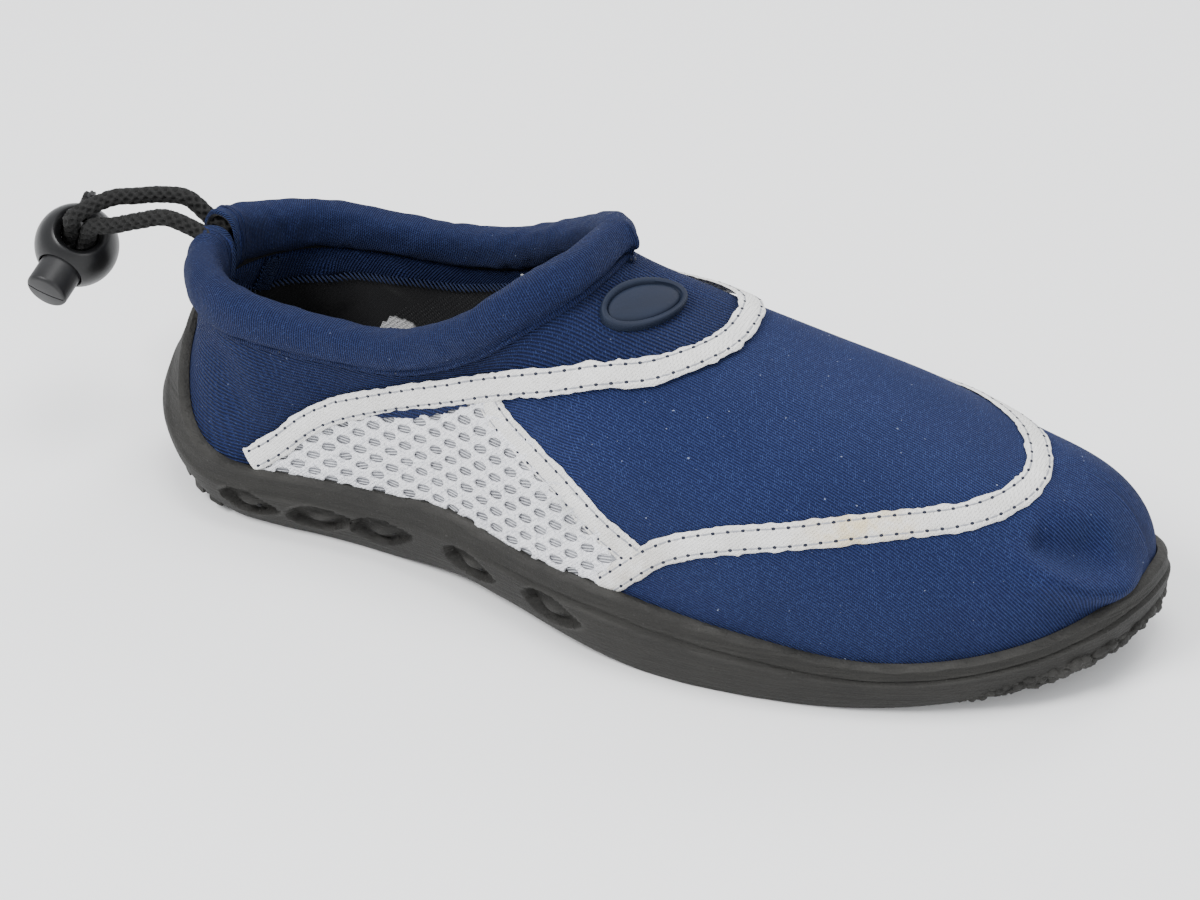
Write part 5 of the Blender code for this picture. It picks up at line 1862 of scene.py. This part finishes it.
# The footbed's outline, and the line that it and the cup's floor share
def bedEdge(side, way, inset=0.0):
    return feather(side, way).xy + inwardAt(side, way) * (upper["wall"] + 2 * gap + inset)


# Closes rings that run from one line, out and back, to another, as the cup and the footbed do
def closedRings(bm, rings, flatArea):
    for low, high in zip(rings, rings[1:]):
        bridge(bm, low, high)
    bmesh.ops.remove_doubles(bm, verts=rings[0] + rings[-1], dist=1e-6)
    flat = [face for face in bm.faces if face.calc_area() < flatArea]
    bmesh.ops.dissolve_degenerate(bm, dist=1e-7, edges=list({edge for face in flat for edge in face.edges}))
    bmesh.ops.recalc_face_normals(bm, faces=bm.faces)


# Rings from the middle of the tread, out and up the wall, over the rim and down inside
def makeSole():
    keys = waysRound(rubber["columns"])
    bm = bmesh.new()

    def under(inset, lift):
        def place(side, way):
            low = treadZ(edgeAt(side, way).x)
            at = edgeAt(side, way) + inwardAt(side, way) * (inset + tuckAt(side, way, low))
            return Vector((at.x, at.y, treadZ(at.x) + lift))
        return place

    def wall(share):
        thickness = sole["sideThickness"] * readRow(wallRows, 1, share)
        away = (share - rubber["grooveAt"]) / rubber["grooveWide"]
        groove = rubber["grooveDeep"] * math.exp(-away * away)
        bead = rubber["beadHigh"] * math.exp(-((share - 0.955) / 0.03) ** 2)

        def place(side, way):
            x = edgeAt(side, way).x
            waver = rubber["scallop"] * ease((share - 0.75) / 0.25) * noise.noise(Vector((x * 160, side, 3)))
            if side == lateral and -0.030 < x < 0.014:      # the lip is rougher below the mesh
                waver *= 2.2
            at = lastAt(side, way, mix(treadZ(x), rimZ(side, way), share))
            grooved = 0.35 + 0.65 * ease((alongOf(x) - 0.35) / 0.15)
            out = inwardAt(side, way) * -(gap + thickness + bead - groove * grooved)
            spot = at + out.to_3d() + Vector((0, 0, waver))
            if 0.06 < share < 0.82:
                spot += hollowDepth(side, spot)
            rough = noise.noise(spot * 120) * 0.00014
            return spot + (inwardAt(side, way) * rough).to_3d()
        return place

    def inside(share):
        def place(side, way):
            at = lastAt(side, way, mix(feather(side, way).z, rimZ(side, way), share))
            return at + (inwardAt(side, way) * -gap).to_3d()
        return place

    def onFloor(at):
        return Vector((at.x, at.y, floorZ(at.x)))

    def floor(side, way):
        return onFloor(feather(side, way).xy - inwardAt(side, way) * gap)

    def bed(share):
        return lambda side, way: onFloor(bedEdge(side, way).lerp(spineAt(way), share))

    def treadMiddle(share):
        outer = under(sole["edgeBand"] + 0.0010, sole["treadDepth"])

        def place(side, way):
            at = outer(side, way).xy.lerp(spineAt(way), share)
            return Vector((at.x, at.y, treadZ(at.x) + sole["treadDepth"]))
        return place

    levels = rubber["wallLevels"]
    places = [treadMiddle(share) for share in (1.0, 0.6, 0.25, 0.0)]
    places += [under(sole["edgeBand"] + 0.0003, 0.0004), under(sole["edgeBand"] - 0.0006, 0.0),
               under(0.0045, 0.0), under(0.0016, 0.0), under(0.0004, 0.0003)]
    places += [wall(0.02 + 0.98 * i / levels) for i in range(levels + 1)]
    places += [inside(share) for share in (0.985, 0.8, 0.5, 0.2)] + [floor]
    places += [bed(share) for share in (0.0, 0.3, 0.7, 1.0)]
    closedRings(bm, [[bm.verts.new(place(side, way)) for side, way in keys] for place in places], 1e-13)
    piece = linked("cupSole", bm, [rubbers["soleRubber"]], 50)
    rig.ride(piece, "shoe")
    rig.replaces(piece, "outsole")
    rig.slot(piece, "sole_rubber")


# A block with rounded upright and lower edges
def roundedBlock(long, wide, high, edge):
    bm = bmesh.new()
    bmesh.ops.create_cube(bm, size=1.0, matrix=Matrix.Diagonal((long, wide, high, 1)))
    rounded = [e for e in bm.edges
               if max(v.co.z for v in e.verts) < 0 or abs(e.verts[0].co.z - e.verts[1].co.z) > 1e-6]
    bmesh.ops.bevel(bm, geom=rounded, offset=edge, affect="EDGES", segments=2, profile=0.5, material=-1)
    return bm


tread = dict(
    start=-0.1215, pitch=0.0088, bars=28, barLong=0.0052, lugs=(0.0105, 0.0060), round=0.0007, seat=0.0012,
    lugPitch=0.0125, wideFrom=0.0115, margin=0.0035, sway=0.00175, turned=12,
    pads=[(-0.0891, 0.020), (0.0432, 0.024)],
)


# The tread's two edges across the shoe, inside its edge band, at the narrower of some places
def treadLimits(*places):
    limits = []
    for side in (lateral, medial):
        y = min((outlineY(side, alongOf(x)) - middleY for x in places), key=abs)
        limits.append(y - side * (sole["edgeBand"] + sole["tuck"] * 1.4 + tread["margin"]))
    return min(limits), max(limits)


# Bars across the tread, cut into staggered lugs, with a flat pad under heel and ball
def makeTread():
    found = []
    deep = sole["treadDepth"] + tread["seat"]
    shapes = [roundedBlock(tread["barLong"], wide, deep, tread["round"]) for wide in tread["lugs"]]
    for row in range(tread["bars"]):
        x = tread["start"] + row * tread["pitch"]
        low, high = treadLimits(x)
        if high - low <= 0.010 or any(abs(x - at) < long / 2 + 0.003 for at, long in tread["pads"]):
            continue
        count = max(1, int((high - low) / tread["lugPitch"]))
        for i in range(count):
            way = 1 if (i + row) % 2 else -1
            at = Vector((x + way * tread["sway"], low + (high - low) * (i + 0.5) / count, 0))
            at.z = treadZ(at.x) + deep / 2
            slope = math.atan2(treadZ(at.x + 0.003) - treadZ(at.x - 0.003), 0.006)
            turn = Matrix.Rotation(math.radians(way * tread["turned"]), 4, "Z")
            which = 0 if (high - low) / count > tread["wideFrom"] else 1
            found.append((which, Matrix.Translation(at) @ Matrix.Rotation(-slope, 4, "Y") @ turn))
    for at, long in tread["pads"]:
        low, high = treadLimits(at - long / 2, at + long / 2)
        shapes.append(roundedBlock(long, high - low, deep, tread["round"]))
        found.append((len(shapes) - 1, Matrix.Translation((at, (low + high) / 2, treadZ(at) + deep / 2))))
    lugs = scattered("treadLugs", shapes, found, [rubbers["soleRubber"]], 45)
    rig.ride(lugs, "shoe")
    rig.slot(lugs, "sole_rubber")


nubs = dict(count=420, size=0.0021, reach=0.20, levels=(0.02, 0.08, 0.16, 0.26), seat=0.86)


# The rough nubs round the underside of the toe
def makeNubs():
    rng = random.Random(4)
    shapes = []
    for seed in range(3):
        bm = bmesh.new()
        bmesh.ops.create_icosphere(bm, subdivisions=2, radius=1.0)
        for vert in bm.verts:
            vert.co *= 1 + 0.35 * noise.noise(vert.co * 1.3 + Vector((seed * 7, 0, 0)))
        shapes.append(bm)
    found = []
    for n in range(nubs["count"]):
        side = lateral if n % 2 else medial
        way = 1 - nubs["reach"] * (n / nubs["count"]) ** 0.9
        level = rng.choice(nubs["levels"])
        low, rim = treadZ(edgeAt(side, way).x), rimZ(side, way)
        out = inwardAt(side, way) * -(sole["sideThickness"] * nubs["seat"])
        at = lastAt(side, way, mix(low, rim, level)) + out.to_3d()
        fade = ease((way - 0.78) / 0.12)
        size = nubs["size"] * rng.uniform(0.55, 1.15) * (0.45 + 0.55 * fade)
        shape = Matrix.Diagonal((size, size * rng.uniform(0.7, 1.3), size * rng.uniform(0.6, 1.0), 1))
        turn = Matrix.Rotation(rng.uniform(0, 6.28), 4, "Z")
        at.z = max(at.z, low + size * 0.35)
        found.append((n % 3, Matrix.Translation(at) @ turn @ shape))
    piece = scattered("toeNubs", shapes, found, [rubbers["soleRubber"]])
    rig.ride(piece, "shoe")
    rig.slot(piece, "sole_rubber")


heelLugs = dict(count=6, start=0.011, pitch=0.0235, levels=((0.055, 0.0), (0.150, 0.008)), sink=0.0004,
                size=(0.0046, 0.0032, 0.0026), round=0.0008)


# Small blocks in two staggered rows round the lower edge of the heel
def makeHeelLugs():
    found = []
    for side in (lateral, medial):
        for i in range(heelLugs["count"]):
            start = heelLugs["start"] + i * heelLugs["pitch"]
            low = treadZ(edgeAt(side, start).x)
            fade = 1 - ease((i - 3) / 3)
            size = Matrix.Diagonal((1, 0.5 + 0.5 * fade, 0.4 + 0.6 * fade, 1))
            for level, shift in heelLugs["levels"]:
                way = start + shift
                thick = sole["sideThickness"] * readRow(wallRows, 1, level)
                inward = inwardAt(side, max(way, 0.012)).to_3d()
                at = lastAt(side, way, mix(low, rimZ(side, way), level))
                at -= inward * (gap + thick - heelLugs["sink"])
                found.append((0, placed(at, -inward, Vector((0, 0, 1)).cross(inward)) @ size))
    lugs = scattered("heelLugs", [roundedBlock(*heelLugs["size"], heelLugs["round"])], found,
                     [rubbers["soleRubber"]], 45)
    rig.ride(lugs, "shoe")
    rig.slot(lugs, "sole_rubber")


# The small dark hole beside each hollow's dome
def makePinHoles():
    found = []
    for _, centre, forward, rise, inward, long, high in hollowList:
        spot = centre + forward * long * 0.22 - rise * high * 0.32 + inward * (rubber["hollowDeep"] - 0.0004)
        found.append((0, placed(spot, -inward, forward)))
    bm = bmesh.new()
    size = Matrix.Diagonal((0.00075, 0.00060, 0.0005, 1))
    bmesh.ops.create_uvsphere(bm, u_segments=16, v_segments=8, radius=1.0, matrix=size)
    holes = scattered("pinHoles", [bm], found, [cloths["blackLining"]])
    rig.ride(holes, "shoe")


makeSole()
makeTread()
makeNubs()
makeHeelLugs()
makePinHoles()
print("sole made")


# The footbed

# Where the footbed is worn: along, across, length and width of the dip
footbed = dict(columns=130, worn=0.0007, dips=[(-0.095, 0.0, 0.022, 0.020), (0.055, 0.0, 0.028, 0.030)])


# A cloth-faced foam sheet with a rolled edge, worn a little under heel and ball
def makeFootbed():
    keys = waysRound(footbed["columns"])
    top = gap + upper["insole"]
    bm = bmesh.new()

    def ring(share, lift, inset):
        verts = []
        for side, way in keys:
            at = bedEdge(side, way, inset).lerp(spineAt(way), share)
            worn = 0.0
            if lift >= top - 1e-9:
                for x, y, long, wide in footbed["dips"]:
                    worn += footbed["worn"] * math.exp(-((at.x - x) / long) ** 2 - ((at.y - y) / wide) ** 2)
            verts.append(bm.verts.new((at.x, at.y, floorZ(at.x) + lift - worn)))
        return verts

    rings = [ring(share, gap, 0.0) for share in (1.0, 0.4, 0.0)]
    rings += [ring(0.0, gap + (top - gap) * s, 0.0) for s in (0.3, 0.6, 0.82)]
    rings += [ring(0.0, top - 0.0002, 0.0004), ring(0.0, top, 0.0011)]
    rings += [ring(share, top, 0.0011) for share in (0.08, 0.2, 0.35, 0.5, 0.7, 0.88, 1.0)]
    closedRings(bm, rings, 1.0)
    piece = linked("footbed", bm, [cloths["footbedCloth"]], 50)
    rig.ride(piece, "shoe")
    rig.replaces(piece, "insole")
    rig.slot(piece, "insole_foam")


makeFootbed()
print("footbed made")


# The blank badge

badge = dict(
    length=0.024, width=0.0135, thick=0.0016, rim=0.0014, rimHigh=0.0008, way=0.508, turn=0.86, turned=52,
    sides=96,
)


# An oval with a round raised rim, a groove inside it and a softly domed bare field
def makeBadge():
    centre = lastPoint(lateral, badge["way"], badge["turn"])
    along = (lastPoint(lateral, badge["way"] + 0.02, badge["turn"]) - centre).normalized()
    rise = lastPoint(lateral, badge["way"], badge["turn"] + 0.03) - centre
    normal = along.cross(rise).normalized()
    if normal.z < 0:
        normal.negate()
    along = Matrix.Rotation(math.radians(badge["turned"]), 3, normal) @ along
    across = normal.cross(along)
    half, top = badge["width"] / 2, badge["thick"]
    rimTop = top + badge["rimHigh"]
    rim = badge["rim"] / half                               # the rim's width as a share
    profile = [
        (0.3, gap), (1.0, gap), (1.01, top * 0.6), (1.0, top + 0.0003), (0.975, rimTop - 0.0001),
        (0.94, rimTop + 0.0001), (1.0 - rim * 0.45, rimTop + 0.000055), (1.0 - rim * 0.7, rimTop + 0.00003),
        (0.99 - rim, rimTop - 0.0002), (0.975 - rim, top - 0.0001), (0.94 - rim, top - 0.0003),
        (0.90 - rim, top), (0.80 - rim, top + 0.00015), (0.5, top + 0.00025), (0.25, top + 0.0003),
    ]
    bm = bmesh.new()
    rings = []
    for share, height in profile:
        ring = []
        for i in range(badge["sides"]):
            angle = 2 * math.pi * i / badge["sides"]
            x = math.cos(angle) * (badge["length"] / 2 - half * (1 - share))
            flat = centre + along * x + across * math.sin(angle) * half * share
            hit = skinTree.ray_cast(flat + normal * 0.02, -normal)[0]
            ring.append(bm.verts.new(hit + normal * height))
        rings.append(ring)
    for low, high in zip(rings, rings[1:]):
        bridge(bm, low, high)
    bm.faces.new(rings[0])
    bm.faces.new(rings[-1])
    bmesh.ops.recalc_face_normals(bm, faces=bm.faces)
    piece = linked("badgeOval", bm, [rubbers["badgeRubber"]], 60)
    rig.ride(piece, "shoe")
    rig.replaces(piece, "badge")
    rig.slot(piece, "badge_rubber")


makeBadge()
print("badge made")


# The skin is finished last, after everything that is laid on it

finished(skin)
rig.ride(skin, "shoe")
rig.replaces(skin, "upper")
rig.slot(skin, "stretch_knit")
print("upper finished")


# A plain pale floor and soft light

# Each light: name, place, height of its target, size, power
studio = dict(
    floor=(0.93, 0.93, 0.93, 1), sky=(0.95, 0.97, 1.0, 1), world=1.10,
    lights=[("key", (-0.55, -0.75, 1.05), 0.04, 0.55, 18.0), ("fill", (0.95, -0.75, 0.60), 0.04, 0.60, 4.5),
            ("back", (0.25, 1.05, 0.85), 0.05, 0.60, 6.0), ("top", (0.05, 0.05, 1.20), 0.05, 0.70, 8.0)],
)


def makeFloor():
    bm = bmesh.new()
    bmesh.ops.create_grid(bm, x_segments=1, y_segments=1, size=6.0)
    material, _, shader = newMaterial("floor")
    shader.inputs["Base Color"].default_value = studio["floor"]
    shader.inputs["Roughness"].default_value = 0.75
    shader.inputs["Specular IOR Level"].default_value = 0.2
    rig.stage(linked("floor", bm, [material]))


def addLight(name, spot, targetHeight, size, power):
    data = bpy.data.lights.new(name, "AREA")
    data.shape = "DISK"
    data.size = size
    data.energy = power
    lamp = bpy.data.objects.new(name, data)
    lamp.location = spot
    lamp.rotation_euler = (Vector(spot) - Vector((0, 0, targetHeight))).to_track_quat("Z", "Y").to_euler()
    bpy.context.scene.collection.objects.link(lamp)


def lightStudio():
    world = bpy.data.worlds.new("world")
    world.use_nodes = True
    ground = world.node_tree.nodes["Background"]
    ground.inputs["Color"].default_value = studio["sky"]
    ground.inputs["Strength"].default_value = studio["world"]
    bpy.context.scene.world = world
    for light in studio["lights"]:
        addLight(*light)


makeFloor()
lightStudio()
print("studio lit")

with open("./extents.json", "w") as file:
    boxes = {"cad": [list(map(float, corner)) for corner in cadBox],
             "visual": [list(map(float, corner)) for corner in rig.bounds()]}
    json.dump(boxes, file)
